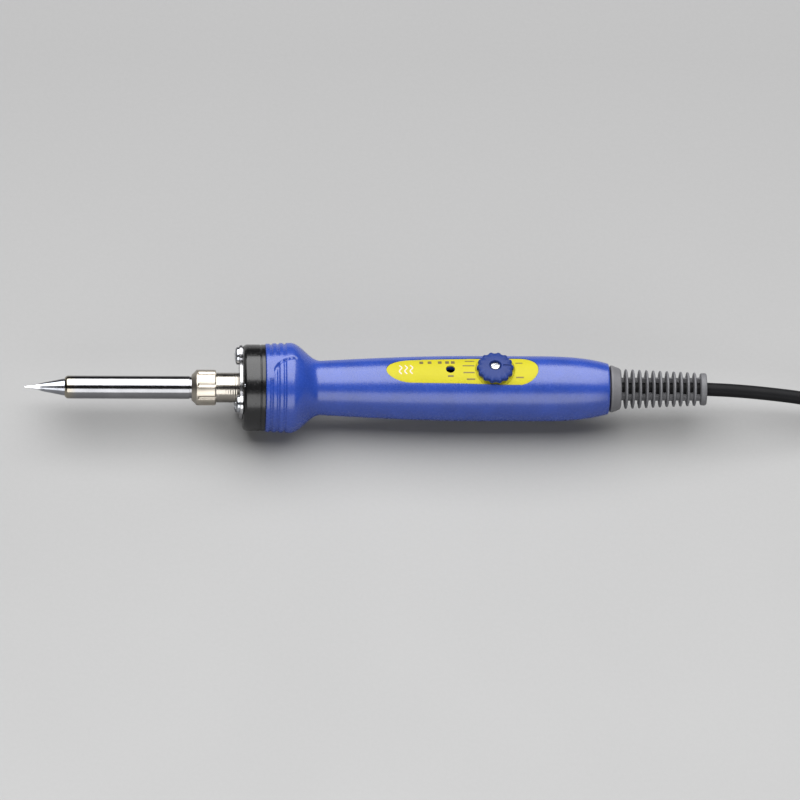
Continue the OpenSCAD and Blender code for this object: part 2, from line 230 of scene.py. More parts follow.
def turned(
    axes: Axes,
    outline: Array,
    sides: int = 96,
    closed: bool = False,
    shaped: Shape | None = None,
) -> Surface:
    """Carries an outline round an axis, with an optional change of it by the turn, as for flutes or a
    recess.

    Args:
        axes: The axis.
        outline: (along, radius) pairs.
        sides: Points round the axis.
        closed: Whether the outline is a loop, as round a bore.
        shaped: Takes along, radius and turn as grids, and returns the changed along and radius.

    Returns:
        Points and faces.
    """
    turn = np.arange(sides) * 2 * np.pi / sides
    x, r, turn = np.broadcast_arrays(outline[:, :1], outline[:, 1:], turn)
    if shaped:
        x, r = shaped(x, r, turn)
    return skin(axes.at(x, r, turn), closed)


def walled(outer: Array, inner: Array, keep: Array, wrap: bool) -> Surface:
    """A wall between two grids of the same layout: both grids' kept cells, and a strip along every kept
    cell's edge that no other kept cell shares, so that holes and rims are closed.

    Args:
        outer: Outer points, (n, m, 3).
        inner: Inner points, (n, m, 3).
        keep: Which cells are there, (n - 1, m) where the grid wraps round and (n - 1, m - 1) where it
            doesn't.
        wrap: Whether the last column joins the first.

    Returns:
        Points and faces of the closed wall.
    """
    n, m, _ = outer.shape
    number = np.arange(n * m).reshape(n, m)
    beside = np.roll(number, -1, axis=1)
    cells = np.stack([number[:-1], beside[:-1], beside[1:], number[1:]], axis=-1)
    cells = (cells if wrap else cells[:, :-1])[keep]
    start, end = cells.reshape(-1), np.roll(cells, -1, axis=1).reshape(-1)
    total = n * m
    rim = ~np.isin(start * total + end, end * total + start)
    start, end = start[rim], end[rim]
    strip = np.stack([end, start, start + total, end + total], axis=-1)
    faces = np.concatenate([cells, cells[:, ::-1] + total, strip])
    used, faces = np.unique(faces, return_inverse=True)
    points = np.concatenate([outer.reshape(-1, 3), inner.reshape(-1, 3)])[used]
    return points, [faces.reshape(-1, 4)]


Distance = Callable[[Array, Array], Array]


def drawn_to(x: Array, y: Array, away: Distance, reach: float) -> tuple[Array, Array]:
    """Moves grid points that lie near an outline on to it, along the slope of the distance from it, in
    two passes.

    Args:
        x: First coordinates.
        y: Second coordinates.
        away: Signed distance from the outline.
        reach: Largest distance that is closed.

    Returns:
        The moved coordinates.
    """
    small = 0.01
    for _ in range(2):
        d = away(x, y)
        slope_x = (away(x + small, y) - away(x - small, y)) / (2 * small)
        slope_y = (away(x, y + small) - away(x, y - small)) / (2 * small)
        near = np.abs(d) < reach
        x, y = np.where(near, x - d * slope_x, x), np.where(near, y - d * slope_y, y)
    return x, y


def round_hole(x0: float, y0: float, r: float) -> Distance:
    """Signed distance from a circle, positive inside it, so that it counts as a hole.

    Args:
        x0: Middle, first coordinate.
        y0: Middle, second coordinate.
        r: Radius.

    Returns:
        The distance function.
    """
    return lambda x, y: r - np.hypot(x - x0, y - y0)


def middles(values: Array) -> Array:
    """Middle of every cell of a grid of values, from its four corners."""
    return (values[:-1, :-1] + values[1:, :-1] + values[:-1, 1:] + values[1:, 1:]) / 4


def trimmed_plan(
    x_range: tuple[float, float], y_range: tuple[float, float], cell: float, edges: Sequence[Distance]
) -> tuple[Array, Array, Array]:
    """A flat grid trimmed to outlines: its points near each are drawn to it, and its cells outside any
    are left out.

    Args:
        x_range: Lowest and highest first coordinate.
        y_range: Lowest and highest second coordinate.
        cell: Size of a cell.
        edges: Signed distances, negative where there is material.

    Returns:
        Both coordinates as grids, and which cells to keep.
    """
    x, y = (np.arange(low, high + cell, cell) for low, high in (x_range, y_range))
    x, y = np.meshgrid(x, y, indexing="ij")
    for away in edges:
        x, y = drawn_to(x, y, away, 0.55 * cell)
    outside = np.max([away(middles(x), middles(y)) for away in edges], axis=0)
    return x, y, outside < 0


def along_curve(knots: Array, step: float) -> Array:
    """A smooth curve through knots: on each span the cubic with the knots' slopes, where a knot's slope
    is the mean of its two spans' slopes, each weighed by the other's length. Points lie about a step
    apart.

    Args:
        knots: Points, (n, 3).
        step: Spacing of the new points.

    Returns:
        Points on the curve.
    """
    h = np.linalg.norm(np.diff(knots, axis=0), axis=1)
    at = np.concatenate([[0], np.cumsum(h)])
    slope = np.diff(knots, axis=0) / h[:, None]
    inner = (slope[:-1] * h[1:, None] + slope[1:] * h[:-1, None]) / (h[1:] + h[:-1])[:, None]
    slopes = np.concatenate([slope[:1], inner, slope[-1:]])
    where = np.linspace(0, at[-1], math.ceil(at[-1] / step) + 1)
    i = np.clip(np.searchsorted(at, where, side="right") - 1, 0, len(h) - 1)
    t, width = ((where - at[i]) / h[i])[:, None], h[i][:, None]
    return (
        (2 * t**3 - 3 * t**2 + 1) * knots[i]
        + (t**3 - 2 * t**2 + t) * width * slopes[i]
        + (3 * t**2 - 2 * t**3) * knots[i + 1]
        + (t**3 - t**2) * width * slopes[i + 1]
    )


def carried(path: Array, section: Array, closed: bool = False) -> Surface:
    """Carries a cross-section along a path: each ring is path + s across + u up, where across is level
    and at right angles to the path, and up is at right angles to both.

    Args:
        path: Points, (n, 3). It never runs straight up.
        section: (across, up) pairs, (m, 2) or one set for each point, (n, m, 2).
        closed: Whether the path ends where it starts.

    Returns:
        Points and faces.
    """
    ahead = np.gradient(path, axis=0)
    if closed:
        ahead = np.roll(path, -1, axis=0) - np.roll(path, 1, axis=0)
    ahead /= np.linalg.norm(ahead, axis=1)[:, None]
    across = np.cross([0, 0, 1], ahead)
    across /= np.linalg.norm(across, axis=1)[:, None]
    up = np.cross(ahead, across)
    section = np.broadcast_to(section, (len(path), *section.shape[-2:]))
    rings = path[:, None] + section[..., :1] * across[:, None] + section[..., 1:] * up[:, None]
    return skin(rings, closed)


def circle(r: float, sides: int) -> Array:
    """A round cross-section of a radius, as (across, up) pairs."""
    turn = np.arange(sides) * 2 * np.pi / sides
    return r * np.stack([np.cos(turn), np.sin(turn)], axis=-1)


# ---------------------------------------------------------------- finishes


def shade(code: str) -> tuple[float, float, float, float]:
    """Turns an sRGB hex colour into the linear one that a shader takes.

    Args:
        code: Six hex digits.

    Returns:
        Red, green, blue and an alpha of 1.
    """
    parts = [int(code[i : i + 2], 16) / 255 for i in (0, 2, 4)]
    return (*(c / 12.92 if c <= 0.04045 else ((c + 0.055) / 1.055) ** 2.4 for c in parts), 1.0)


def add(
    tree: Tree,
    kind: str,
    settings: dict[str | int, object],
    links: dict[str | int, object],
    out: str | int = 0,
) -> Socket:
    """Adds a shader node to a material, with its settings and links.

    Args:
        tree: The material's nodes.
        kind: Blender's name of the node, without its ShaderNode.
        settings: Value of each input, by its name or number, or of each property of the node.
        links: Socket that feeds each input.
        out: Which output is wanted, by its name or number.

    Returns:
        That output's socket.
    """
    node = tree.nodes.new("ShaderNode" + kind)
    for key, value in settings.items():
        if isinstance(key, str) and hasattr(node, key):
            setattr(node, key, value)
        else:
            node.inputs[key].default_value = value
    for key, socket in links.items():
        tree.links.new(socket, node.inputs[key])
    return node.outputs[out]


def noise(tree: Tree, size_mm: float, detail: float, place: object) -> Socket:
    """Adds a cloudy noise to a material.

    Args:
        tree: The material's nodes.
        size_mm: Size of its clouds.
        detail: How many finer layers it has.
        place: Socket with the place on the piece.

    Returns:
        Socket with the noise, from 0 to 1.
    """
    return add(tree, "TexNoise", {"Scale": 1 / (size_mm * MM), "Detail": detail}, {"Vector": place})


def mixed(tree: Tree, first: object, second: object, share: object) -> Socket:
    """Mixes two colours by a share.

    Args:
        tree: The material's nodes.
        first: Socket or linear colour where the share is 0.
        second: Linear colour where the share is 1.
        share: Socket with the share.

    Returns:
        Socket with the mixed colour.
    """
    links = {0: share}
    settings = {"data_type": "RGBA", 7: second}
    (settings if isinstance(first, tuple) else links)[6] = first
    return add(tree, "Mix", settings, links, 2)


class Grain(Enum):
    """How a surface was made, as the stretch of its pattern along X, Y and Z: small where the marks run
    long."""

    MOULDED = (1.0, 1.0, 1.0)
    TURNED = (1.0, 0.03, 0.03)
    DRAWN = (0.04, 1.0, 1.0)
    UPRIGHT = (1.0, 1.0, 0.05)


@dataclass(frozen=True)
class Finish:
    """A finish, with a fine grain in its relief and roughness, and a coarser drift between two
    shades."""

    slot: str
    name: str
    base: str
    drift: str
    roughness: float
    swing: float = 0.05
    metallic: float = 0.0
    ior: float = 1.5
    grain: Grain = Grain.MOULDED
    grain_mm: float = 0.4
    relief_mm: float = 0.004
    mottle_mm: float = 6.0
    coat: float = 0.0
    coat_roughness: float = 0.1

    def tint(self, tree: Tree, place: object, colour: object) -> object:
        """Changes the colour where a finish has more than its drift. A plain finish has none.

        Args:
            tree: The material's nodes.
            place: Socket with the place on the piece.
            colour: Socket with the drifting colour.

        Returns:
            Socket with the colour to use.
        """
        return colour

    def material(self) -> bpy.types.Material:
        """Builds the material, or returns it where it was built before.

        Returns:
            The material.
        """
        made = bpy.data.materials.get(self.name)
        if made:
            return made
        made = bpy.data.materials.new(self.name)
        made.use_nodes = True
        tree = made.node_tree
        surface = tree.nodes["Principled BSDF"]
        place = add(tree, "TexCoord", {}, {}, "Object")
        lay = add(tree, "Mapping", {"Scale": self.grain.value}, {"Vector": place})
        fine = noise(tree, self.grain_mm, 3.0, lay)
        coarse = noise(tree, self.mottle_mm, 2.0, place)
        share = add(tree, "MapRange", {"From Min": 0.35, "From Max": 0.65}, {"Value": coarse})
        colour = mixed(tree, shade(self.base), shade(self.drift), share)
        tree.links.new(self.tint(tree, place, colour), surface.inputs["Base Color"])
        spread = {
            "From Min": 0.3,
            "From Max": 0.7,
            "To Min": max(0.02, self.roughness - self.swing),
            "To Max": min(1.0, self.roughness + self.swing),
        }
        tree.links.new(add(tree, "MapRange", spread, {"Value": fine}), surface.inputs["Roughness"])
        bump = add(tree, "Bump", {"Distance": self.relief_mm * MM}, {"Height": fine})
        tree.links.new(bump, surface.inputs["Normal"])
        surface.inputs["Metallic"].default_value = self.metallic
        if not self.metallic:
            surface.inputs["IOR"].default_value = self.ior
        surface.inputs["Coat Weight"].default_value = self.coat
        surface.inputs["Coat Roughness"].default_value = self.coat_roughness
        return made

    def put_on(self, thing: Thing) -> None:
        """Makes this the only finish of a piece."""
        thing.data.materials.clear()
        thing.data.materials.append(self.material())


@dataclass(frozen=True)
class Banded(Finish):
    """A finish whose colour goes over to another one along an axis, as tinning on a bit, heat colour on
    a tube, or painted shade that darkens the floor sheet towards the back."""

    axis: str = "X"
    far: str = "FFFFFF"
    start_mm: float = 0.0
    end_mm: float = 1.0

    def tint(self, tree: Tree, place: object, colour: object) -> object:
        """Mixes in the far colour from start_mm to end_mm along the axis.

        Args:
            tree: The material's nodes.
            place: Socket with the place on the piece.
            colour: Socket with the drifting colour.

        Returns:
            Socket with the mixed colour.
        """
        along = add(tree, "SeparateXYZ", {}, {0: place}, self.axis)
        span = {"From Min": self.start_mm * MM, "From Max": self.end_mm * MM}
        return mixed(tree, colour, shade(self.far), add(tree, "MapRange", span, {"Value": along}))


@dataclass(frozen=True)
class Woven(Finish):
    """A woven band: crowns of thread in nearly even rows, with painted shade in the gaps between them."""

    thread_mm: float = 0.5

    def tint(self, tree: Tree, place: object, colour: object) -> object:
        """Paints shade into the gaps between threads, darker with the distance from the middles of nearly
        even cells.

        Args:
            tree: The material's nodes.
            place: Socket with the place on the piece.
            colour: Socket with the drifting colour.

        Returns:
            Socket with the woven colour, its painted gap shade mixed in.
        """
        cells = {"Scale": 1 / (self.thread_mm * MM), "Randomness": 0.15}
        weave = add(tree, "TexVoronoi", cells, {"Vector": place}, "Distance")
        share = add(tree, "MapRange", {"From Min": 0.2, "From Max": 0.6}, {"Value": weave})
        # painted shade: near black 0C0C0D towards the cells' edges, where the gaps between threads lie
        return mixed(tree, colour, shade("0C0C0D"), share)


FINISHES = [
    # Moulded nylon: deep even blue under a soft sheen, with a faint orange peel from the mould
    Finish(
        "handle_plastic", "moulded blue nylon", "1E357C", "203985", 0.27, ior=1.53, grain_mm=0.9,
        relief_mm=0.001, swing=0.03,
    ),
    # Moulded phenolic: near black, its skin dull with a few rubbed places
    Finish(
        "black_phenolic", "moulded black phenolic", "0A0A0B", "0F0F10", 0.22, swing=0.06, ior=1.45,
        grain_mm=0.6,
    ),
    # Stamped stainless sheet: bright, with the rolling lines of the strip
    Finish(
        "stainless_sheet", "stamped stainless sheet", "A9A9AB", "9E9EA1", 0.24, metallic=1.0,
        grain=Grain.UPRIGHT,
    ),
    # Bright zinc plate over a headed screw: nearly mirror, slightly uneven
    Finish("plated_screw", "zinc plated steel", "A4A6AA", "94979D", 0.2, metallic=1.0, mottle_mm=1.5),
    # Nickel plate over turned brass: lathe rings under a warm white
    Finish(
        "nickel_brass", "nickel plated brass", "98938B", "8A857E", 0.2, metallic=1.0,
        grain=Grain.TURNED,
    ),
    # Fired alumina: white, dense and dull, greyer where it has been hot
    Finish("alumina", "fired alumina", "EFEDE6", "DFDBD0", 0.55, ior=1.76),
    # Fired steatite: ivory, a little chalky
    Finish("steatite", "fired steatite", "E6DFCE", "D8CFBB", 0.6, ior=1.59, grain_mm=0.3),
    # Tempered spring steel: grey with a trace of straw
    Finish("spring_steel", "tempered spring steel", "A9A8A6", "9C968A", 0.3, metallic=1.0),
    # Pressed mica board: pearly flakes
    Finish(
        "mica_board", "pressed mica board", "CDB98D", "B69D6C", 0.4, grain_mm=1.2, mottle_mm=1.0,
        relief_mm=0.02,
    ),
    # Fluoropolymer insulation: waxy orange
    Finish("ptfe_wire", "fluoropolymer insulation", "D2502A", "C24624", 0.35, ior=1.38),
    # Epoxy and glass laminate under a green solder mask, its weave just showing
    Finish(
        "board_laminate", "green solder mask", "0E5A30", "0B4C28", 0.3, grain_mm=0.5, relief_mm=0.008,
        coat=0.3,
    ),
    # Moulded epoxy of a chip: dull black with a fine grit
    Finish("chip_epoxy", "moulded chip epoxy", "1B1B1C", "232324", 0.6, grain_mm=0.12, relief_mm=0.006),
    # Dipped epoxy of a capacitor: glossy ochre with soft edges
    Finish("capacitor_epoxy", "dipped capacitor epoxy", "C48F22", "B07C18", 0.25, coat=0.4),
    # Shrunk sleeve of a capacitor: dark blue film
    Finish("capacitor_sleeve", "shrunk sleeve", "1B2350", "161C42", 0.3),
    # Lacquered ceramic of a resistor: tan and slightly rough
    Finish("resistor_ceramic", "lacquered resistor ceramic", "C7A77A", "B59467", 0.5),
    # Moulded case of a potentiometer: mid blue
    Finish("pot_case", "moulded potentiometer case", "2F5F9A", "28538A", 0.45),
    # Clear tinted epoxy of an unlit lamp: very dark blue, glossy
    Finish("lamp_epoxy", "tinted lamp epoxy", "0B0B3A", "09092E", 0.12, swing=0.02),
    # Printed polycarbonate film: flat bright yellow, satin
    Finish("yellow_panel", "satin yellow film", "979010", "9B9411", 0.6, ior=1.3, relief_mm=0.002),
    # Moulded thermoplastic rubber: mid grey, chalky and matt
    Finish(
        "boot_rubber", "moulded grey rubber", "4D4D50", "565659", 0.62, grain_mm=0.3, relief_mm=0.01,
    ),
    # Pressed steel crimp: grey, brushed by the die
    Finish("crimp_steel", "pressed steel", "9E9EA0", "8C8C8F", 0.35, metallic=1.0),
    # Extruded vinyl cord: soft black with long faint drawing lines
    Finish("cord_jacket", "extruded vinyl jacket", "0B0B0D", "0F0F11", 0.55, ior=1.2, mottle_mm=12.0),
    # Extruded insulation of the black conductor
    Finish("black_wire", "black wire insulation", "121212", "1A1A1A", 0.35),
    # Extruded insulation of the white conductor
    Finish("white_wire", "white wire insulation", "E4E3DE", "D6D5CF", 0.35),
    # Woven hook-and-loop band: fuzzy dark grey threads about half a millimetre apart, with painted shade
    # in the gaps between them
    Woven(
        "tie_band", "woven hook and loop band", "35363A", "2C2D31", 0.9, grain_mm=0.25, relief_mm=0.06,
    ),
    # Moulded vinyl of the plug: black with a fine spark texture
    Finish("plug_vinyl", "moulded plug vinyl", "1A1A1C", "232325", 0.5, grain_mm=0.25, relief_mm=0.012),
    # Stamped brass blades: warm, with drawing lines
    Finish("blade_brass", "stamped brass", "CBB27A", "BFA468", 0.25, metallic=1.0, grain=Grain.DRAWN),
    # Turned steel spindle: concentric rings
    Finish(
        "spindle_metal", "turned steel", "B4B4B6", "A4A4A7", 0.28, metallic=1.0, grain=Grain.UPRIGHT,
    ),
    # Moulded nylon of the dial: the handle's blue, a little deeper
    Finish(
        "dial_plastic", "moulded dial nylon", "17285C", "1A2D66", 0.42, ior=1.25, grain_mm=0.9,
        relief_mm=0.002,
    ),
    # Iron-plated copper bit: dull grey plating that goes over to bright wet tin at the point
    Banded(
        "tip_plating", "iron plate and tin", "93959B", "84868C", 0.2, metallic=1.0, grain=Grain.TURNED,
        far="EDEEF1", start_mm=-102.0, end_mm=-103.4,
    ),
    # Polished stainless tube: mirror with fine rings, straw coloured by heat at its mouth
    Banded(
        "polished_stainless", "polished stainless tube", "858588", "7D7D80", 0.14, swing=0.03,
        metallic=1.0,
        grain=Grain.TURNED, grain_mm=0.15, relief_mm=0.0006, far="948C7C", start_mm=-91.0, end_mm=-94.6,
    ),
    # Satin nickel plate: creamy white, softly blasted
    Finish("satin_nickel", "satin nickel plate", "AFA89D", "A39C91", 0.36, metallic=1.0, grain_mm=0.15),
]
BY_SLOT = {finish.slot: finish for finish in FINISHES}

# Dark screen ink printed on the yellow film: brown-grey, thin, dull
DARK_INK = Finish("yellow_panel", "dark screen ink", "4A3F14", "57491A", 0.6, grain_mm=0.2)
# Pale screen ink: a chalky pinkish white
PALE_INK = Finish("yellow_panel", "pale screen ink", "BDA6A2", "B29A95", 0.6, grain_mm=0.2)


def fit(name: str, surface: Surface, body: str, finish: str | Finish, *stands_for: str) -> Thing:
    """Makes a piece with its finish and body, and hides the CAD nodes that it stands for.

    Args:
        name: Name of the piece.
        surface: Its points and faces.
        body: CAD body that it moves with.
        finish: Its finish, or the slot of one.
        *stands_for: CAD nodes that it replaces.

    Returns:
        The piece.
    """
    finish = BY_SLOT[finish] if isinstance(finish, str) else finish
    thing = make_mesh(name, *surface)
    finish.put_on(thing)
    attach(thing, body)
    if stands_for:
        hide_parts(*stands_for)
    LOG.info("%s: %d faces on %s", thing.name, len(thing.data.polygons), body)
    return thing


# ---------------------------------------------------------------- handle


@dataclass
class Handle:
    """The blue moulding: a flare with ring grooves and a finger pad, a waist, a belly and a tapered
    tail."""

    front: float = -31.9
    flare: float = -24.1
    waist: float = -14.5
    belly: float = 34.0
    belly_end: float = 52.0
    end: float = 76.4
    flare_r: float = 14.15
    waist_r: float = 8.55
    belly_r: float = 10.25
    tail_r: float = 7.95
    edge: float = 0.4
    grooves: tuple[float, ...] = (-30.1, -28.0, -25.9)
    groove_half: float = 0.55
    groove_depth: float = 0.42
    pad_middle: tuple[float, float] = (-21.6, 4.6)
    pad_size: tuple[float, float] = (7.6, 6.0)
    pad_end: float = -17.0
    pad_sink: float = 0.22
    crease_half: float = 0.3
    crease_depth: float = 0.4
    strip: tuple[float, float] = (-3.1, 6.5)
    inside: tuple[tuple[float, float], ...] = (
        (-31.9, 6.6), (-10, 6.6), (6, 7.4), (16, 8.2), (60, 8.2), (72.4, 6.8), (72.7, 5.2), (76.4, 5.2),
    )
    fine_turn: float = 33.0

    def outline(self, x: Array) -> Array:
        """The plain outline: a sine rise to the flare, a cosine down to the waist, a quarter sine up to
        the belly, level along it, and a cubic down to the tail, with a quarter circle at each end.

        Args:
            x: Places along the axis.

        Returns:
            Radii.
        """
        start_r = self.flare_r - 0.3
        rise = start_r + (self.flare_r - start_r) * np.sin(
            np.pi / 2 * np.clip((x - self.front) / (self.flare - self.front), 0, 1)
        )
        fall = self.waist_r + (self.flare_r - self.waist_r) * (
            1 + np.cos(np.pi * np.clip((x - self.flare) / (self.waist - self.flare), 0, 1))
        ) / 2
        grip = self.waist_r + (self.belly_r - self.waist_r) * np.sin(
            np.pi / 2 * np.clip((x - self.waist) / (self.belly - self.waist), 0, 1)
        )
        past = np.clip((x - self.belly_end) / (self.end - self.belly_end), 0, 1)
        tail = self.belly_r - (self.belly_r - self.tail_r) * past**3
        r = np.select([x < self.flare, x < self.waist, x < self.belly], [rise, fall, grip], tail)
        t = np.clip(1 - np.minimum(x - self.front, self.end - x) / self.edge, 0, 1)
        return r - self.edge * (1 - np.sqrt(1 - t**2))

    def sculpted(self, x: Array, turn: Array) -> Array:
        """Depth of the flare's detail: half-cosine ring grooves that leave a smooth strip along the
        top, and a crease along the rounded corner of the finger pad, which lies a little lower than the
        strip.

        Args:
            x: Places along the axis.
            turn: Turns, from -pi to pi.

        Returns:
            Depths below the outline.
        """
        s = turn * self.flare_r
        mid_x, mid_s = self.pad_middle
        a, b = self.pad_size
        q = np.hypot((x - mid_x) / a, (s - mid_s) / b)
        q = np.where(x > mid_x, np.abs(s - mid_s) / b, q)
        q = np.where(s > mid_s, np.abs(x - mid_x) / a * (x < mid_x), q)
        away = (q - 1) * b
        in_pad = smooth_step(0.5 - away / self.crease_half) * (x < self.pad_end)
        strip = (1 - in_pad) * smooth_step((s - self.strip[0]) / 0.9) * (s < self.strip[1])
        lower = smooth_step((13.0 - s) / 8) * smooth_step((-19.5 - x) / 3)
        crease = np.exp(-((away / self.crease_half) ** 2)) * smooth_step((4.6 - s) / 1.6)
        crease = crease * smooth_step((-21.8 - x) / 1.6)
        rings = np.zeros_like(x + turn)
        for middle in self.grooves:
            off = np.abs(x - middle) / self.groove_half
            rings = rings + self.groove_depth * np.where(off < 1, np.cos(np.pi / 2 * off), 0)
        return rings * (1 - strip) + self.pad_sink * in_pad * lower + self.crease_depth * crease

    def build(self, panel: "ControlPanel") -> None:
        """Makes the hollow moulding: a grid of stations and turns, drawn to the panel's outline and to
        the two holes under it, outside at outline - sculpture - recess and inside at the cavity's
        radius.

        Args:
            panel: The inlay that its recess takes.
        """
        ends = self.edge * (1 - np.cos(np.linspace(0, np.pi / 2, 6)))
        x = np.concatenate([
            self.front + ends, np.arange(-31.3, -19.5, 0.2), np.arange(-19.5, 4.5, 0.75),
            np.arange(4.8, 55, 0.27),
            np.arange(55.6, 72.4, 0.8), [72.4, 72.7], np.arange(73.3, 75.9, 0.6), self.end - ends[::-1],
        ])
        x = x[np.diff(x, prepend=-99) > 0.01]
        fine = np.linspace(-self.fine_turn, self.fine_turn, 48)
        coarse = np.linspace(self.fine_turn, 360 - self.fine_turn, 122)[1:-1]
        turn = np.radians(np.concatenate([fine, (coarse + 180) % 360 - 180]))
        x, turn = (np.array(v) for v in np.broadcast_arrays(x[:, None], turn[None, :]))
        top = np.abs(turn) < math.radians(self.fine_turn - 1.5)
        y = -self.outline(x) * np.sin(turn)
        for away in (panel.away, panel.lamp, panel.spindle):
            new_x, new_y = drawn_to(x, y, away, 0.15)
            x, y = np.where(top, new_x, x), np.where(top, new_y, y)
        turn = np.where(top, -np.arcsin(np.clip(y / self.outline(x), -1, 1)), turn)
        sunk = panel.depth(x, y) + panel.thick
        sunk = np.where(top & (panel.away(x, y) < -0.02), sunk, 0)
        outer = IRON.at(x, self.outline(x) - self.sculpted(x, turn) - sunk, turn)
        inner = IRON.at(x, np.interp(x, *np.transpose(self.inside)), turn)
        wide = [np.concatenate([v, v[:, :1]], axis=1) for v in (x, y, np.where(top, 1.0, 0.0))]
        mid_x, mid_y, mid_top = (middles(v) for v in wide)
        hole = np.maximum(panel.lamp(mid_x, mid_y), panel.spindle(mid_x, mid_y)) > 0
        wall = walled(outer, inner, ~(hole & (mid_top > 0.9)), wrap=True)
        fit("handle_moulding", wall, "root", "handle_plastic", "handle_shell")


# ---------------------------------------------------------------- control panel


@dataclass
class ControlPanel:
    """The yellow inlay on the handle's top, curved with it, with a pit for the dial and plain printed
    marks."""

    handle: Handle
    start: float = 5.9
    end: float = 53.8
    front_half: float = 4.7
    rear_half: float = 5.45
    nose: float = 9.0
    heel: float = 6.5
    sink: float = 0.25
    thick: float = 0.6
    gap: float = 0.05
    dial_x: float = 40.1
    pit_r: float = 6.25
    pit_depth: float = 0.3
    pit_top: float = 9.6
    lamp_x: float = 26.05
    lamp_r: float = 1.45
    spindle_r: float = 2.2
    ink: float = 0.03
    bars: tuple[float, ...] = (16.4, 19.0, 22.2, 24.5, 26.3)
    bar_y: float = 2.9
    bar_size: tuple[float, float] = (1.2, 1.25)
    tick_w: float = 0.42
    wave_x: float = 12.1
    wave_gap: float = 1.7
    wave_w: float = 0.36

    def away(self, x: Array, y: Array) -> Array:
        """Signed distance from the outline, negative inside: two straight sides that open towards the
        rear, between a long and a short elliptical end, as (q - 1) / |slope of q| for the ellipse's q =
        hypot(dx / a, y / b).

        Args:
            x: Places along the axis.
            y: Places across it.

        Returns:
            Distances.
        """
        first, last = self.start + self.nose, self.end - self.heel
        before, behind = np.clip(first - x, 0, None) / self.nose, np.clip(x - last, 0, None) / self.heel
        dx, size = before + behind, np.where(before > 0, self.nose, self.heel)
        half_w = np.interp(x, [first, last], [self.front_half, self.rear_half])
        q = np.maximum(np.hypot(dx, y / half_w), 1e-6)
        slope = np.hypot(dx / size, y / half_w**2) / q
        return (q - 1) / np.maximum(slope, 1e-6)

    def lamp(self, x: Array, y: Array) -> Array:
        """Signed distance from the lamp's hole, positive inside it."""
        return round_hole(self.lamp_x, 0, self.lamp_r)(x, y)

    def spindle(self, x: Array, y: Array) -> Array:
        """Signed distance from the spindle's hole, positive inside it."""
        return round_hole(self.dial_x, 0, self.spindle_r)(x, y)

    def depth(self, x: Array, y: Array) -> Array:
        """Depth of the inlay's face below the handle's outline: its sink, and in the dial's pit
        pit_depth more, or what brings it down to the level of pit_top, whichever is deeper.

        Args:
            x: Places along the axis.
            y: Places across it.

        Returns:
            Depths.
        """
        r = self.handle.outline(x)
        in_pit = smooth_step((self.pit_r - np.hypot(x - self.dial_x, y)) / 0.2)
        level = r - np.hypot(self.pit_top, y)
        return self.sink + in_pit * np.maximum(self.pit_depth, level - self.sink)

    def face(self, x: Array, y: Array, lift: float) -> Array:
        """Points on the inlay's face: z = AXIS + sqrt((outline - depth + lift)^2 - y^2).

        Args:
            x: Places along the axis.
            y: Places across it.
            lift: Height above the face.

        Returns:
            Points.
        """
        r = self.handle.outline(x) - self.depth(x, y) + lift
        return np.stack([x, y, AXIS + np.sqrt(r**2 - y**2)], axis=-1)

    def stroke(self, path: Sequence[tuple[float, float]], width: float) -> Surface:
        """A thin line of ink laid along a path on the face, its section a flat bar with its edges below
        the face.

        Args:
            path: (x, y) points of the line's middle.
            width: Its width.

        Returns:
            Points and faces.
        """
        p = np.array(path, float)
        spans = [(a, b, max(3, math.ceil(np.linalg.norm(b - a) / 0.2))) for a, b in zip(p, p[1:])]
        p = np.concatenate([*(np.linspace(a, b, n)[:-1] for a, b, n in spans), p[-1:]])
        ahead = np.gradient(p, axis=0)
        ahead /= np.linalg.norm(ahead, axis=1)[:, None]
        across = np.stack([-ahead[:, 1], ahead[:, 0]], axis=-1) * width / 2
        left, right = p - across, p + across
        rings = [self.face(side[:, 0], side[:, 1], lift) for side, lift in (
            (left, -self.ink), (left, self.ink), (right, self.ink), (right, -self.ink),
        )]
        return skin(np.stack(rings, axis=1))

    def build(self) -> None:
        """Makes the inlay and its marks: a row of short bars, ticks beside the dial, and three waves of
        heat."""
        edges = (lambda x, y: self.away(x, y) + self.gap, self.lamp, self.spindle)
        x, y, keep = trimmed_plan((self.start, self.end), (-self.rear_half, self.rear_half), 0.17, edges)
        y = np.clip(y, -self.rear_half - 0.2, self.rear_half + 0.2)
        film = walled(self.face(x, y, 0), self.face(x, y, -self.thick), keep, wrap=False)
        fit("panel_film", film, "root", "yellow_panel", "control_panel")
        long, tall = self.bar_size
        bars = [self.stroke([(x0, self.bar_y), (x0 + long, self.bar_y)], tall) for x0 in self.bars]
        ticks = [
            self.stroke([(self.dial_x + a, y0), (self.dial_x + b, y0)], self.tick_w)
            for a, b, y0 in (
                (-9.4, -6.4, 3.5), (-10.2, -6.5, 1.3), (-10.0, -6.5, -1.4), (-9.0, -6.4, -3.6),
                (6.5, 8.7, 2.6), (6.5, 8.9, -3.0),
            )
        ]
        label = [self.stroke([(25.2, -2.6), (27.0, -2.6)], 0.55)]
        fit("panel_dark_print", joined([*bars, *ticks, *label]), "root", DARK_INK)
        t = np.linspace(-1.7, 1.7, 18)
        waves = [
            self.stroke(np.stack([self.wave_x + x0 + 0.4 * np.sin(t * 2.4), t], axis=-1), self.wave_w)
            for x0 in (-self.wave_gap, 0.0, self.wave_gap)
        ]
        fit("panel_heat_mark", joined(waves), "root", PALE_INK)
        dome = np.radians(np.arange(6, 91, 7))
        outline = [(3.6, 0.2), (3.6, 1.7), (4.4, 1.7), (4.4, 1.35)]
        outline = np.concatenate([
            eased(outline, 0.15),
            np.stack([4.4 + 1.2 * np.sin(dome), 1.35 * np.maximum(np.cos(dome), 0.02)], axis=-1),
        ])
        lens = turned(upright(self.lamp_x), outline, 48)
        fit("lamp_lens", lens, "root", "lamp_epoxy", "indicator_led")


# ---------------------------------------------------------------- dial


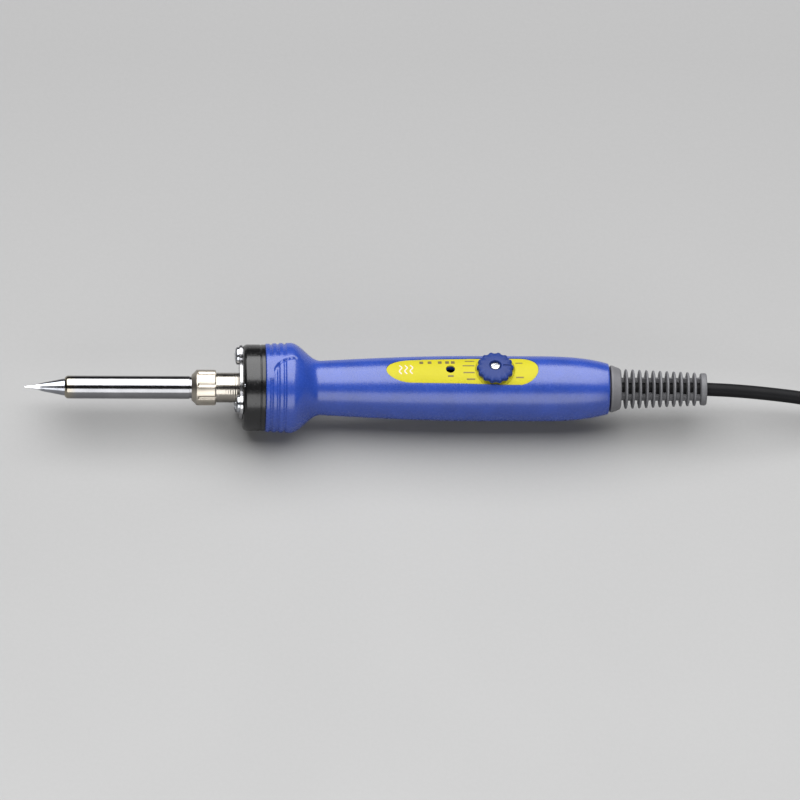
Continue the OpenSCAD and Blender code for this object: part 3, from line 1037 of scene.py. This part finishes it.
@dataclass
class Dial:
    """The temperature dial: a scalloped knob with a crowned top, a recess and a slotted screw in it."""

    x: float = 40.1
    r: float = 5.85
    bottom: float = 9.9
    top: float = 12.1
    seat: float = 11.2
    scallops: int = 14
    recess_r: float = 1.8
    bore_r: float = 1.9
    scallop_out: float = 0.95
    scallop_r: float = 1.4
    notch: tuple[float, float] = (2.4, 5.0)
    notch_half: float = 0.42
    notch_depth: float = 0.35

    def scalloped(self, h: Array, r: Array, turn: Array) -> tuple[Array, Array]:
        """Cuts the scallops and the pointer's notch. A scallop is a circle of radius c about a point at
        distance d, so the edge comes in to d cos a - sqrt(c^2 - (d sin a)^2), and further in points
        keep their share of that.

        Args:
            h: Heights.
            r: Radii.
            turn: Turns.

        Returns:
            Changed heights and radii.
        """
        pitch = 2 * np.pi / self.scallops
        a = (turn % pitch) - pitch / 2
        d, c = self.r + self.scallop_out, self.scallop_r
        inside = np.maximum(c**2 - (d * np.sin(a)) ** 2, 0)
        edge = np.minimum(self.r, d * np.cos(a) - np.sqrt(inside))
        share = smooth_step((r - 3.6) / (self.r - 3.6 - 0.9))
        r = r + share * (edge - self.r) * (h > self.bottom - 0.5)
        notch = smooth_step((self.notch_half - np.abs(r * np.sin(turn))) / 0.2)
        notch = notch * (np.cos(turn) > 0) * (h > self.seat + 0.5)
        notch = notch * smooth_step((r - self.notch[0]) / 0.3) * smooth_step((self.notch[1] - r) / 0.3)
        return h - self.notch_depth * notch, r

    def build(self) -> None:
        """Makes the knob, its slotted screw, and leaves the CAD spindle as it is."""
        crown_r = np.linspace(4.95, 2.15, 16)
        crown = np.stack([self.top - 0.022 * (crown_r**2 - 2.15**2), crown_r], axis=-1)
        outline = np.concatenate([
            eased([
                (11.0, 0.7), (11.0, self.bore_r), (self.bottom, self.bore_r), (self.bottom, self.r - 0.1),
                (self.bottom + 0.3, self.r), (self.top - 0.9, self.r - 0.12), (crown[0, 0], crown_r[0]),
            ], 0.14)[:-1],
            crown,
            [(self.top - 0.03, 2.0), (self.top - 0.12, 1.87), (self.top - 0.3, self.recess_r),
             (self.seat + 0.1, self.recess_r), (self.seat, self.recess_r - 0.1), (self.seat, 0.7)],
        ])
        knob = turned(upright(self.x), outline, self.scallops * 20, closed=True, shaped=self.scalloped)
        fit("dial_cap", knob, "dial", "dial_plastic", "dial_knob")

        def slotted(h: Array, r: Array, turn: Array) -> tuple[Array, Array]:
            """Sinks a straight slot into the screw's head."""
            slot = smooth_step((0.26 - np.abs(r * np.sin(turn - 0.5))) / 0.1) * (h > self.seat + 0.3)
            return h - 0.33 * slot, r

        head_r = np.linspace(1.3, 0.03, 16)
        outline = np.concatenate([
            [(8.0, 0.3), (8.0, 0.6), (self.seat, 0.6), (self.seat, 1.5), (self.seat + 0.35, 1.5)],
            np.stack([self.seat + 0.75 - 0.13 * head_r**2, head_r], axis=-1),
        ])
        screw = turned(upright(self.x), outline, 72, shaped=slotted)
        fit("dial_fixing", screw, "dial", "plated_screw", "dial_screw")


# ---------------------------------------------------------------- front end


@dataclass
class FrontEnd:
    """The black ring at the handle's mouth, the steel plate on it with its three screws, and the
    nipple."""

    ring_front: float = -39.0
    ring_end: float = -31.9
    ring_r: float = 13.6
    plate_front: float = -40.0
    plate_r: float = 9.9
    ear_r: float = 3.4
    screw_circle: float = 10.0
    screw_turns: tuple[float, ...] = (68, 188, 308)
    pin_turn: float = 35.0
    pin_x: float = -38.25
    cross_half: float = 0.36
    cross_r: float = 1.65
    nipple_r: float = 4.75
    thread_pitch: float = 0.75

    def plate_edge(self, turn: Array) -> Array:
        """Radius of the plate at a turn: the disc's, or where an ear reaches further, the far side of
        the ear's circle, c cos a + sqrt(e^2 - (c sin a)^2) with a counted from the ear.

        Args:
            turn: Turns.

        Returns:
            Radii.
        """
        edge = np.full_like(turn, self.plate_r)
        for middle in np.radians(self.screw_turns):
            a = (turn - middle + np.pi) % (2 * np.pi) - np.pi
            reach = self.ear_r**2 - (self.screw_circle * np.sin(a)) ** 2
            ear = self.screw_circle * np.cos(a) + np.sqrt(np.maximum(reach, 0))
            edge = np.where((reach > 0) & (np.cos(a) > 0), np.maximum(edge, ear), edge)
        return edge

    def head(self, x: Array, r: Array, turn: Array) -> tuple[Array, Array]:
        """Sinks a cross recess into a screw's head: two bars at right angles, deepest in the middle.

        Args:
            x: Places along the screw.
            r: Radii.
            turn: Turns.

        Returns:
            Changed places and radii.
        """
        u, v = np.abs(r * np.cos(turn)), np.abs(r * np.sin(turn))
        half = self.cross_half
        arm = np.maximum(smooth_step((half - u) / 0.12), smooth_step((half - v) / 0.12))
        arm = arm * smooth_step((self.cross_r - r) / 0.15) * (x < -0.3)
        return x + arm * (1.0 - 0.3 * r), r

    def build(self) -> None:
        """Makes the ring, the plate, the screws and the nipple with its thread."""
        ring = eased([
            (self.ring_front, 7.0), (self.ring_front, 12.5), (self.ring_front + 0.35, 13.2),
            (self.ring_front + 1.2, self.ring_r), (-33.6, self.ring_r), (-33.45, self.ring_r - 0.18),
            (-33.25, self.ring_r - 0.18), (-33.1, self.ring_r), (self.ring_end, self.ring_r),
            (self.ring_end, 7.0),
        ], 0.25, closed=True)
        ring = turned(IRON, ring, 144, closed=True)
        fit("insulating_ring", ring, "root", "black_phenolic", "front_ring")

        front, back, bore = self.plate_front, self.ring_front, self.nipple_r + 0.05
        corners = [(front, bore), (front, self.plate_r), (back, self.plate_r), (back, bore)]
        plate = eased(corners, 0.15, closed=True)

        def eared(x: Array, r: Array, turn: Array) -> tuple[Array, Array]:
            """Stretches the plate's rim out to its edge at each turn, and its inner rings in
            proportion."""
            share = np.clip((r - bore) / (self.plate_r - bore), 0, 1)
            return x, r + share * (self.plate_edge(turn) - self.plate_r)

        plate = turned(IRON, plate, 360, closed=True, shaped=eared)
        fit("front_plate", plate, "root", "stainless_sheet", "flange_plate")

        screws = []
        dome = np.linspace(2.3, 0.04, 30)
        outline = np.concatenate([
            [(12, 0.3), (12, 1.4), (0.02, 1.4), (0, 1.5), (0, 2.7), (-0.05, 2.8), (-0.6, 2.8),
             (-0.85, 2.72),
             (-1.02, 2.55)],
            np.stack([-1.5 + 0.068 * dome**2, dome], axis=-1),
        ])
        for turn in np.radians(self.screw_turns):
            y, z = -self.screw_circle * math.sin(turn), AXIS + self.screw_circle * math.cos(turn)
            place = Axes((self.plate_front, y, z), (1, 0, 0), (0, math.sin(turn), math.cos(turn)),
                         (0, math.cos(turn), -math.sin(turn)))
            screws.append(turned(place, outline, 96, shaped=self.head))
        fit("plate_fixings", joined(screws), "root", "plated_screw", "flange_screws")

        turn = math.radians(self.pin_turn)
        sine, cosine = math.sin(turn), math.cos(turn)
        place = Axes((self.pin_x, 0, AXIS), (0, -sine, cosine), (1, 0, 0), (0, cosine, sine))
        bulge = np.radians(np.arange(0, 88, 10))
        outline = np.concatenate([
            [(10.6, 0.3), (10.6, 0.69)],
            np.stack([13.0 + 0.35 * np.sin(bulge), 0.69 * np.cos(bulge)], axis=-1),
        ])
        fit("locating_pin", turned(place, outline, 40), "root", "plated_screw", "ring_pin")

        thread = np.arange(-51.6, -40.4, self.thread_pitch / 6)
        crest = self.nipple_r - 0.06 - 0.03 * np.cos(2 * np.pi * (thread + 51.6) / self.thread_pitch)
        outline = np.concatenate([
            [(-52.05, 3.3), (-52.05, 4.3), (-51.75, 4.55)], np.stack([thread, crest], axis=-1),
            eased([(-40.3, 4.6), (-39.0, 4.6), (-39.0, 6.4), (-37.6, 6.4), (-37.6, 3.3)], 0.1)[1:],
        ])
        fit("threaded_nipple", turned(IRON, outline, 96, closed=True), "root", "nickel_brass", "nipple")


# ---------------------------------------------------------------- hot end


@dataclass
class HotEnd:
    """The bit, the stainless tube over it, and the fluted nut that holds the tube."""

    mouth: float = -94.8
    tube_r: float = 3.62
    nut_r: float = 5.6
    flutes: int = 8
    flute_phase: float = math.radians(-16)

    def fluted(self, x: Array, r: Array, turn: Array) -> tuple[Array, Array]:
        """Cuts the nut's flutes into its outside: round channels of radius c about points at distance
        d, which run out towards the front collar.

        Args:
            x: Places along the axis.
            r: Radii.
            turn: Turns.

        Returns:
            Changed places and radii.
        """
        pitch = 2 * np.pi / self.flutes
        a = (turn - self.flute_phase + pitch / 2) % pitch - pitch / 2
        d, c = self.nut_r + 0.35, 0.75
        edge = d * np.cos(a) - np.sqrt(np.maximum(c**2 - (d * np.sin(a)) ** 2, 0))
        edge = np.where(np.abs(d * np.sin(a)) < c, np.minimum(edge, self.nut_r), self.nut_r)
        cut = (self.nut_r - edge) * smooth_step((x + 53.1) / 0.5) * (r > 5.1)
        return x, np.where(r > 5.1, np.minimum(r, np.maximum(r - cut, 5.15)), r)

    def build(self) -> None:
        """Makes the bit, the tube and the nut."""
        cone = [
            (-107.48, 0.12), (-107.2, 0.2), (-104.3, 0.74), (-102.5, 1.13), (-101.4, 1.43), (-99.5, 1.78),
            (-97.7, 2.13), (-95.8, 2.53), (-94.8, 2.68), (-93.7, 2.7), (-93.6, 3.05), (-52.3, 3.05),
            (-52.3, 2.03), (-98.0, 2.03), (-98.6, 0.1),
        ]
        fine = eased(cone, 0.7, steps=6)
        fit("bit", turned(IRON, fine, 96), "tip", "tip_plating", "soldering_tip")

        tube = eased([
            (self.mouth, 2.8), (self.mouth, 2.95), (self.mouth + 0.6, 3.5),
            (self.mouth + 1.1, self.tube_r),
            (-55.6, self.tube_r), (-55.6, 3.42), (-54.9, 3.42), (-54.9, self.tube_r),
            (-53.0, self.tube_r),
            (-53.0, 4.5), (-52.15, 4.5), (-52.15, 3.15), (-93.4, 3.15), (-94.0, 2.8),
        ], 0.25, closed=True)
        tube = turned(IRON, tube, 128, closed=True)
        fit("barrel_tube", tube, "enclosure", "polished_stainless", "tip_enclosure")

        shoulders = np.linspace(-53.2, -52.4, 8)
        nut = np.concatenate([
            eased([(-53.1, 3.7), (-55.0, 3.7), (-55.0, 3.97), (-53.75, 5.2), (-53.6, 5.45),
                   (-53.4, self.nut_r),
                   (shoulders[0], self.nut_r)], 0.2)[1:-1],
            np.stack([shoulders, np.full(8, self.nut_r)], axis=-1),
            eased([(-52.3, self.nut_r), (-47.7, self.nut_r), (-47.3, 5.3), (-47.3, 4.82), (-53.1, 4.82),
                   (-53.1, 3.7)], 0.2)[1:],
        ])
        nut = turned(IRON, nut, self.flutes * 36, closed=True, shaped=self.fluted)
        fit("barrel_nut", nut, "nut", "satin_nickel", "enclosure_nut")


# ---------------------------------------------------------------- boot


@dataclass
class Boot:
    """The grey strain relief: a collar, then ribs on a thin tube with windows through it between
    them."""

    gaps: int = 12
    pitch: float = 2.17
    gap_w: float = 1.25
    first_gap: float = 80.85
    end: float = 107.5
    collar_r: float = 7.4
    rib_r: float = 6.35
    end_r: float = 5.1
    core_r: float = 3.7
    bore_r: float = 2.2
    even_window: tuple[float, float] = (0.0, 130.0)
    odd_window: tuple[float, float] = (28.0, 104.0)

    def rib(self, x: Array) -> Array:
        """Radius of the ribs' crests, which falls evenly from the first gap to the end."""
        return self.rib_r + (self.end_r - self.rib_r) * (x - self.first_gap) / (self.end - self.first_gap)

    def stations(self) -> tuple[Array, Array, Array]:
        """Places along the boot with the outer and inner radius at each: in every gap the core's
        radius, and between gaps a crest rounded as a superellipse, (1 - |u|^3)^(1/3) of the way up.

        Returns:
            Places, outer radii and inner radii.
        """
        front = eased([
            (70.4, 2.2), (70.4, 6.6), (72.4, 6.6), (72.4, 5.2), (76.85, 5.2), (76.85, 7.1),
            (77.05, self.collar_r),
            (77.5, self.collar_r), (79.9, 6.5), (self.first_gap - self.gap_w / 2 - 0.02, 6.15),
        ], 0.25)[1:]
        u = np.linspace(-1, 1, 13)
        crest = (1 - np.abs(u) ** 3) ** (1 / 3)
        crest[[0, -1]] = 0
        half = (self.pitch - self.gap_w) / 2
        middle = self.first_gap + self.pitch * (np.arange(self.gaps - 1) + 0.5)
        x = middle[:, None] + half * u
        r = self.core_r + (self.rib(x) - self.core_r) * crest
        last = self.first_gap + (self.gaps - 1) * self.pitch + self.gap_w / 2
        tail = np.linspace(last, self.end, 12)
        v = 2 * (tail - last) / (self.end - last) - 1
        tail_r = self.core_r + (self.end_r - self.core_r) * (1 - np.abs(v) ** 4) ** (1 / 4)
        tail_r[-1] = self.core_r - 0.6
        start = self.first_gap - self.gap_w / 2
        x = np.concatenate([front[:, 0], [start], x.reshape(-1), tail])
        r = np.concatenate([front[:, 1], [self.core_r], r.reshape(-1), tail_r])
        return x, r, np.full_like(x, self.bore_r)

    def build(self) -> None:
        """Makes the boot as a wall between its outside and its bore, with the windows' cells left
        out."""
        x, outer_r, inner_r = self.stations()
        turn = np.radians(np.arange(0, 360, 3.0))
        keep = np.ones((len(x) - 1, len(turn)), bool)
        mid_x, mid_turn = (x[:-1] + x[1:]) / 2, np.degrees(turn) + 1.5
        for i in range(self.gaps):
            middle, width = self.odd_window if i % 2 else self.even_window
            off = (mid_turn - middle + 90) % 180 - 90
            here = np.abs(mid_x - self.first_gap - i * self.pitch) < self.gap_w / 2 - 0.01
            keep &= ~(here[:, None] & (np.abs(off) < width / 2)[None, :])
        outer = IRON.at(x[:, None], outer_r[:, None], turn[None, :])
        inner = IRON.at(x[:, None], inner_r[:, None], turn[None, :])
        fit("strain_relief", walled(outer, inner, keep, wrap=True), "root", "boot_rubber", "cord_boot")


# ---------------------------------------------------------------- cord


class Round(NamedTuple):
    """One round of the hank: its lane out, back and after the near fold, and its layer at the start,
    after the run out and after the run back. Lane 0 is the outer one."""

    out: int
    back: int
    after: int
    layer: int
    far_layer: int
    near_layer: int


@dataclass
class Cord:
    """The cord: from the boot down to the surface, five rounds in a tied hank, and up to the plug on
    top."""

    r: float = 2.1
    lanes: tuple[float, float] = (16.8, 12.6)
    near: float = 198.0
    far: float = 278.0
    floor: float = 2.7
    climb: float = 30.0
    length: float = 1.4
    rounds: tuple[Round, ...] = (
        Round(0, 0, 1, 0, 0, 0), Round(1, 1, 1, 0, 0, 1), Round(1, 0, 0, 1, 1, 1),
        Round(0, 0, 1, 1, 2, 2),
        Round(1, 1, 1, 2, 2, 3),
    )
    lead: tuple[tuple[float, float, float], ...] = (
        (0.1075, 0, 0.01415), (0.114, 0, 0.0137), (0.121, 0, 0.0129), (0.129, -0.0002, 0.0119),
        (0.137, -0.0005, 0.0107), (0.145, -0.0012, 0.0091), (0.153, -0.0027, 0.0074),
        (0.161, -0.005, 0.0055),
        (0.169, -0.008, 0.004), (0.177, -0.0112, 0.0031), (0.184, -0.0138, 0.0027),
        (0.190, -0.0156, 0.0027),
    )
    tail: tuple[tuple[float, float, float], ...] = (
        (0.208, 0.0126, 0.0142), (0.198, 0.0126, 0.0153), (0.1917, 0.0109, 0.0153),
        (0.1871, 0.0063, 0.0153),
        (0.1854, 0, 0.0153), (0.1871, -0.0063, 0.0153), (0.1917, -0.0109, 0.0153),
        (0.198, -0.0126, 0.0153),
        (0.206, -0.0119, 0.0158), (0.214, -0.0088, 0.017), (0.221, -0.004, 0.0184),
        (0.226, -0.001, 0.0194), (0.231, 0, 0.0197),
    )

    def run(self, start: float, end: float, y: float, layer: int, next_layer: int) -> Array:
        """A straight run of the hank, which climbs to its next layer by a smooth step over its last
        stretch.

        Args:
            start: Where it starts along X.
            end: Where it ends along X.
            y: Its lane.
            layer: Its layer.
            next_layer: The layer that it ends in.

        Returns:
            Points, without the last.
        """
        x = np.linspace(start, end, 26)[:-1]
        rise = smooth_step(1 - np.abs(end - x) / self.climb) * (next_layer - layer)
        return np.stack([x, np.full_like(x, y), self.floor + 2 * self.r * (layer + rise)], axis=-1)

    def fold(self, middle: float, start: float, r0: float, r1: float, layer: int) -> Array:
        """A half turn about a middle, its radius going over from r0 to r1 by a smooth step.

        Args:
            middle: Place of the fold's middle along X.
            start: Angle at which it starts, in degrees from +X towards +Y.
            r0: Radius at its start.
            r1: Radius at its end.
            layer: Its layer.

        Returns:
            Points, without the last.
        """
        t = np.linspace(0, 1, 22)[:-1]
        angle, r = np.radians(start + 180 * t), r0 + (r1 - r0) * smooth_step(t)
        z = np.full_like(t, self.floor + 2 * self.r * layer)
        return np.stack([middle + r * np.cos(angle), r * np.sin(angle), z], axis=-1)

    def winding(self) -> Array:
        """All rounds of the hank, each a run out, the far fold, a run back and the near fold.

        Returns:
            Points, up to where the tail starts.
        """
        parts = []
        for turn in self.rounds:
            out, back, after = (self.lanes[i] for i in (turn.out, turn.back, turn.after))
            parts.append(self.run(self.near, self.far, -out, turn.layer, turn.far_layer))
            parts.append(self.fold(self.far, -90, out, back, turn.far_layer))
            parts.append(self.run(self.far, self.near, back, turn.far_layer, turn.near_layer))
            parts.append(self.fold(self.near, 90, back, after, turn.near_layer))
        last_run = parts[-2]
        parts[-2:] = [last_run[last_run[:, 0] > self.tail[0][0] / MM + 3]]
        return np.concatenate(parts)

    def path(self) -> Array:
        """The whole route as one smooth curve through the lead, the winding and the tail."""
        knots = [np.array(self.lead) / MM, self.winding(), np.array(self.tail) / MM]
        return along_curve(np.concatenate(knots), 2.0)

    def build(self, plug: Sequence[Thing]) -> Thing:
        """Args:
            plug: The pieces at its end and round it; not used.

        Returns:
            The piece.
        """
        path = self.path()
        size = np.ones(len(path))
        size[-3:] = 1.0, 0.85, 0.5
        section = size[:, None, None] * circle(self.r, 18)
        path[-3:] = path[-1] - (path[-1] - path[-2]) * np.array([0.5, 0.15, 0.0])[:, None]
        nodes = ("cord_lead", "cord_hank", "cord_tail")
        cord = fit("mains_cord", carried(path, section), "root", "cord_jacket", *nodes)
        length = np.linalg.norm(np.diff(path, axis=0), axis=1).sum() * MM
        LOG.info("the cord's route is %.3f m long", length)
        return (cord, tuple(self.lead[0]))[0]


@dataclass
class Plug:
    """The two-blade plug, its ribbed relief, and the band round the hank."""

    axis: float = 19.7
    relief: float = 231.0
    start: float = 250.0
    end: float = 278.0
    width: float = 28.0
    thick: float = 13.0
    blade_gap: float = 12.7
    tie_x: float = 238.0
    tie_w: float = 4.5
    tie_t: float = 0.6
    hank_half: float = 18.9
    hank_top: float = 13.2
    neck: tuple[float, float] = (5.6, 4.4)
    grips: tuple[float, ...] = (0.36, 0.46, 0.56)
    grip_depth: float = 0.45

    def body(self) -> Thing:
        """The moulded body: superellipses across X, (|y/w|^4 + |z/t|^4 = 1), whose width and thickness
        grow from the relief over a shoulder, with three finger ribs across the faces and a small round
        at the blades' end.

        Returns:
            The piece.
        """
        t = np.linspace(0, 1, 90)
        x = self.start + (self.end - self.start) * t
        shoulder = np.sqrt(np.clip(1 - (1 - np.clip(t / 0.24, 0, 1)) ** 2, 0, 1))
        heel = np.sqrt(np.clip(1 - np.clip((t - 0.965) / 0.035, 0, 1) ** 2, 0, 1))
        neck_w, neck_t = self.neck
        half_w = (neck_w + (self.width / 2 - neck_w) * shoulder) * (0.94 + 0.06 * heel)
        half_t = (neck_t + (self.thick / 2 - neck_t) * shoulder) * (0.9 + 0.1 * heel)
        grip = sum(np.exp(-(((t - middle) / 0.022) ** 2)) for middle in self.grips)
        turn = np.arange(120) * 2 * np.pi / 120
        c, s = np.cos(turn), np.sin(turn)
        r = (np.abs(c) ** 4 + np.abs(s) ** 4) ** -0.25
        face = smooth_step((np.abs(s) - 0.6) / 0.25)
        y = half_w[:, None] * r * c
        z = self.axis + (half_t[:, None] - self.grip_depth * grip[:, None] * face) * r * s
        rings = np.stack([np.broadcast_to(x[:, None], y.shape), y, z], axis=-1)
        return fit("plug_moulding", skin(rings), "root", "plug_vinyl", "plug_body")

    def relief_sleeve(self) -> Thing:
        """The tapered relief: a cone with rounded ribs, each the upper half of a sine wave.

        Returns:
            The piece.
        """
        axes = replace(IRON, origin=(0, 0, self.axis))
        x = np.linspace(self.relief, self.start + 0.3, 110)
        t = (x - self.relief) / (self.start - self.relief)
        ribs = 0.5 * np.maximum(np.sin(2 * np.pi * (x - self.relief - 1.2) / 4.0), 0) ** 0.7
        r = 2.75 + 1.6 * t + ribs * (t < 0.93)
        r[0] = 2.4
        sleeve = turned(axes, np.stack([x, r], axis=-1), 64)
        return fit("plug_sleeve", sleeve, "root", "plug_vinyl", "plug_relief")

    def blades(self) -> Thing:
        """The two blades: a flat plan with tapered corners and a hole, given its thickness across Y.

        Returns:
            The piece.
        """

        def edge(x: Array, z: Array) -> Array:
            """Signed distance from the blade's outline: its sides, its end and its two cut corners."""
            z = np.abs(z)
            return np.maximum(np.maximum(z - 3.15, x - 17), (x - 15.6 + 1.22 * (z - 3.15)) / 1.58)

        x, z, keep = trimmed_plan((-0.6, 17.0), (-3.2, 3.2), 0.2, (edge, round_hole(12.2, 0, 1.6)))
        parts = []
        for side in (-1, 1):
            y = side * self.blade_gap / 2
            faces = [
                np.stack([self.end + x, np.full_like(x, y + h), self.axis + z], axis=-1)
                for h in (0.75, -0.75)
            ]
            parts.append(walled(*faces, keep, wrap=False))
        return fit("plug_contacts", joined(parts), "root", "blade_brass", "plug_blades")

    def tie(self) -> Thing:
        """The band round the hank: a flat section carried round a rectangle with round corners.

        Returns:
            The piece.
        """
        h, top = self.hank_half + self.tie_t / 2, self.hank_top + self.tie_t / 2
        low, c = self.tie_t / 2, 2.3
        corner = np.linspace(0, np.pi / 2, 9)
        loop = []
        for i, (y, z) in enumerate(((h, top), (-h, top), (-h, low), (h, low))):
            a = corner + i * np.pi / 2
            loop.append(np.stack([y - math.copysign(c, y) + c * np.cos(a),
                                  z + (-c if z == top else c) + c * np.sin(a)], axis=-1))
        loop = np.concatenate(loop)
        out = np.roll(loop, -1, axis=0) - np.roll(loop, 1, axis=0)
        out = np.stack([out[:, 1], -out[:, 0]], axis=-1) / np.linalg.norm(out, axis=1)[:, None]
        u = np.array([-1, -0.97, -0.9, 0.9, 0.97, 1, 1, 0.97, 0.9, -0.9, -0.97, -1]) * self.tie_w / 2
        v = np.array([-0.5, -0.85, -1, -1, -0.85, -0.5, 0.5, 0.85, 1, 1, 0.85, 0.5]) * self.tie_t / 2
        rings = loop[:, None] + v[None, :, None] * out[:, None]
        x = np.broadcast_to(self.tie_x + u, rings.shape[:2])[..., None]
        rings = np.concatenate([x, rings], axis=-1)
        return fit("hank_band", skin(rings, closed=True), "root", "tie_band", "hank_tie")

    def build(self) -> list[Thing]:
        """Makes the band, the relief, the body and the blades, and returns them."""
        return [self.tie(), self.relief_sleeve(), self.body(), self.blades()]


# ---------------------------------------------------------------- what stays


def dress_frame() -> None:
    """Gives every CAD node that still shows the finish of its material slot."""
    for row in frame["record"]["subparts"]:
        node = frame["nodes"][row["node"]]
        if not node.hide_render:
            finish = BY_SLOT[row["material_slot"]]
            finish.put_on(node)
            LOG.info("%s keeps its shape, in %s", node.name, finish.name)


# ---------------------------------------------------------------- studio


@dataclass
class Lamp:
    """A soft rectangular light that faces the iron."""

    name: str
    elevation: float
    away: float
    width: float
    length: float
    radiance: float

    def build(self) -> None:
        """Hangs the light over the X axis: at an elevation from the -Y horizon, its length along X. Its
        power is radiance x pi x area."""
        turn = math.radians(self.elevation)
        back = np.array([0, -math.cos(turn), math.sin(turn)])
        across = np.cross(back, [1, 0, 0])
        data = bpy.data.lights.new(self.name, "AREA")
        data.shape, data.size, data.size_y = "RECTANGLE", self.length, self.width
        data.energy = self.radiance * math.pi * self.length * self.width
        light = bpy.data.objects.new(self.name, data)
        light.matrix_world = Matrix.Translation(back * self.away) @ Matrix(
            np.stack([[1, 0, 0], across, back], axis=1).tolist()
        ).to_4x4()
        bpy.context.scene.collection.objects.link(light)


@dataclass
class Studio:
    """A pale sheet under the iron, two soft lights, a dim surround, and the camera."""

    azimuth: float = -5.0
    elevation: float = 52.0
    distance: float = 2.0
    lens: float = 285.94
    slope: float = -0.2
    shift_right: float = 10.62
    shift_up: float = -3.74
    floor_r: float = 9.0
    lamps: list[Lamp] = field(default_factory=lambda: [
        Lamp("overhead softbox", 108.0, 0.95, 1.36, 1.5, 5.8),
        Lamp("front softbox", 16.0, 1.25, 0.9, 1.7, 3.6),
    ])

    def camera(self) -> None:
        """Sets the camera: it looks from an azimuth and elevation, rolled so that the X axis slopes by
        slope degrees, at a point beside the iron's middle."""
        a, e = math.radians(self.azimuth), math.radians(self.elevation)
        back = np.array([math.sin(a) * math.cos(e), -math.cos(a) * math.cos(e), math.sin(e)])
        right = np.array([math.cos(a), math.sin(a), 0.0])
        up = np.cross(back, right)
        roll = math.atan2(up[0], right[0]) - math.radians(self.slope)
        right, up = (
            right * math.cos(roll) + up * math.sin(roll),
            up * math.cos(roll) - right * math.sin(roll),
        )
        target = (np.array([0, 0, AXIS]) + self.shift_right * right + self.shift_up * up) * MM
        data = bpy.data.cameras.new("studio camera")
        data.lens, data.sensor_width = self.lens, 36.0
        data.clip_start, data.clip_end = 0.1, 50.0
        camera = bpy.data.objects.new("studio camera", data)
        turn = Matrix(np.stack([right, up, back], axis=1).tolist()).to_4x4()
        camera.matrix_world = Matrix.Translation(target + back * self.distance) @ turn
        bpy.context.scene.collection.objects.link(camera)
        bpy.context.scene.camera = camera

    def floor(self) -> None:
        """Lays a pale grey sheet: a disc of rings whose rise is nil out to well past the iron and then
        a slow curve. Its colour is painted shade that darkens from front to back, where less light falls."""
        r = np.concatenate([np.linspace(0.05, 5.0, 40), np.linspace(5.2, self.floor_r, 30)])
        rise = 0.35 * np.clip(r - 5.0, 0, None) ** 2
        turn = np.arange(96) * 2 * np.pi / 96
        rings = np.stack(np.broadcast_arrays(
            r[:, None] * np.cos(turn), r[:, None] * np.sin(turn), rise[:, None]
        ), axis=-1) / MM
        points, faces = skin(np.concatenate([rings - np.array([0, 0, 4.0]), rings[::-1]]))
        sheet = make_mesh("studio_sheet", points, faces)
        # painted shade: the paper goes from 8A8A8A at -150 mm Y to 797979 at +150 mm, darker at the back
        # where the light falls off
        paper = Banded(
            "floor", "matt grey paper", "8A8A8A", "8C8C8C", 0.85, grain_mm=1.2, relief_mm=0.02,
            mottle_mm=90.0,
            axis="Y", far="797979", start_mm=-150.0, end_mm=150.0,
        )
        paper.put_on(sheet)

    def build(self) -> None:
        """Sets the camera, the surround, the sheet and the lights."""
        scene = bpy.context.scene
        scene.view_settings.view_transform = "Standard"
        world = bpy.data.worlds.new("dim surround")
        scene.world = world
        world.use_nodes = True
        world.node_tree.nodes["Background"].inputs["Color"].default_value = shade("8A8D92")
        world.node_tree.nodes["Background"].inputs["Strength"].default_value = 0.1
        self.camera()
        self.floor()
        for lamp in self.lamps:
            lamp.build()


def main() -> None:
    """Builds every piece in order."""
    logging.basicConfig(level=logging.INFO, format="%(name)s: %(message)s")
    Studio().build()
    Cord().build(Plug().build())
    handle = Handle()
    panel = ControlPanel(handle)
    handle.build(panel)
    panel.build()
    for assembly in (Dial(), FrontEnd(), HotEnd(), Boot()):
        assembly.build()
    dress_frame()


if __name__ == "__main__":
    main()
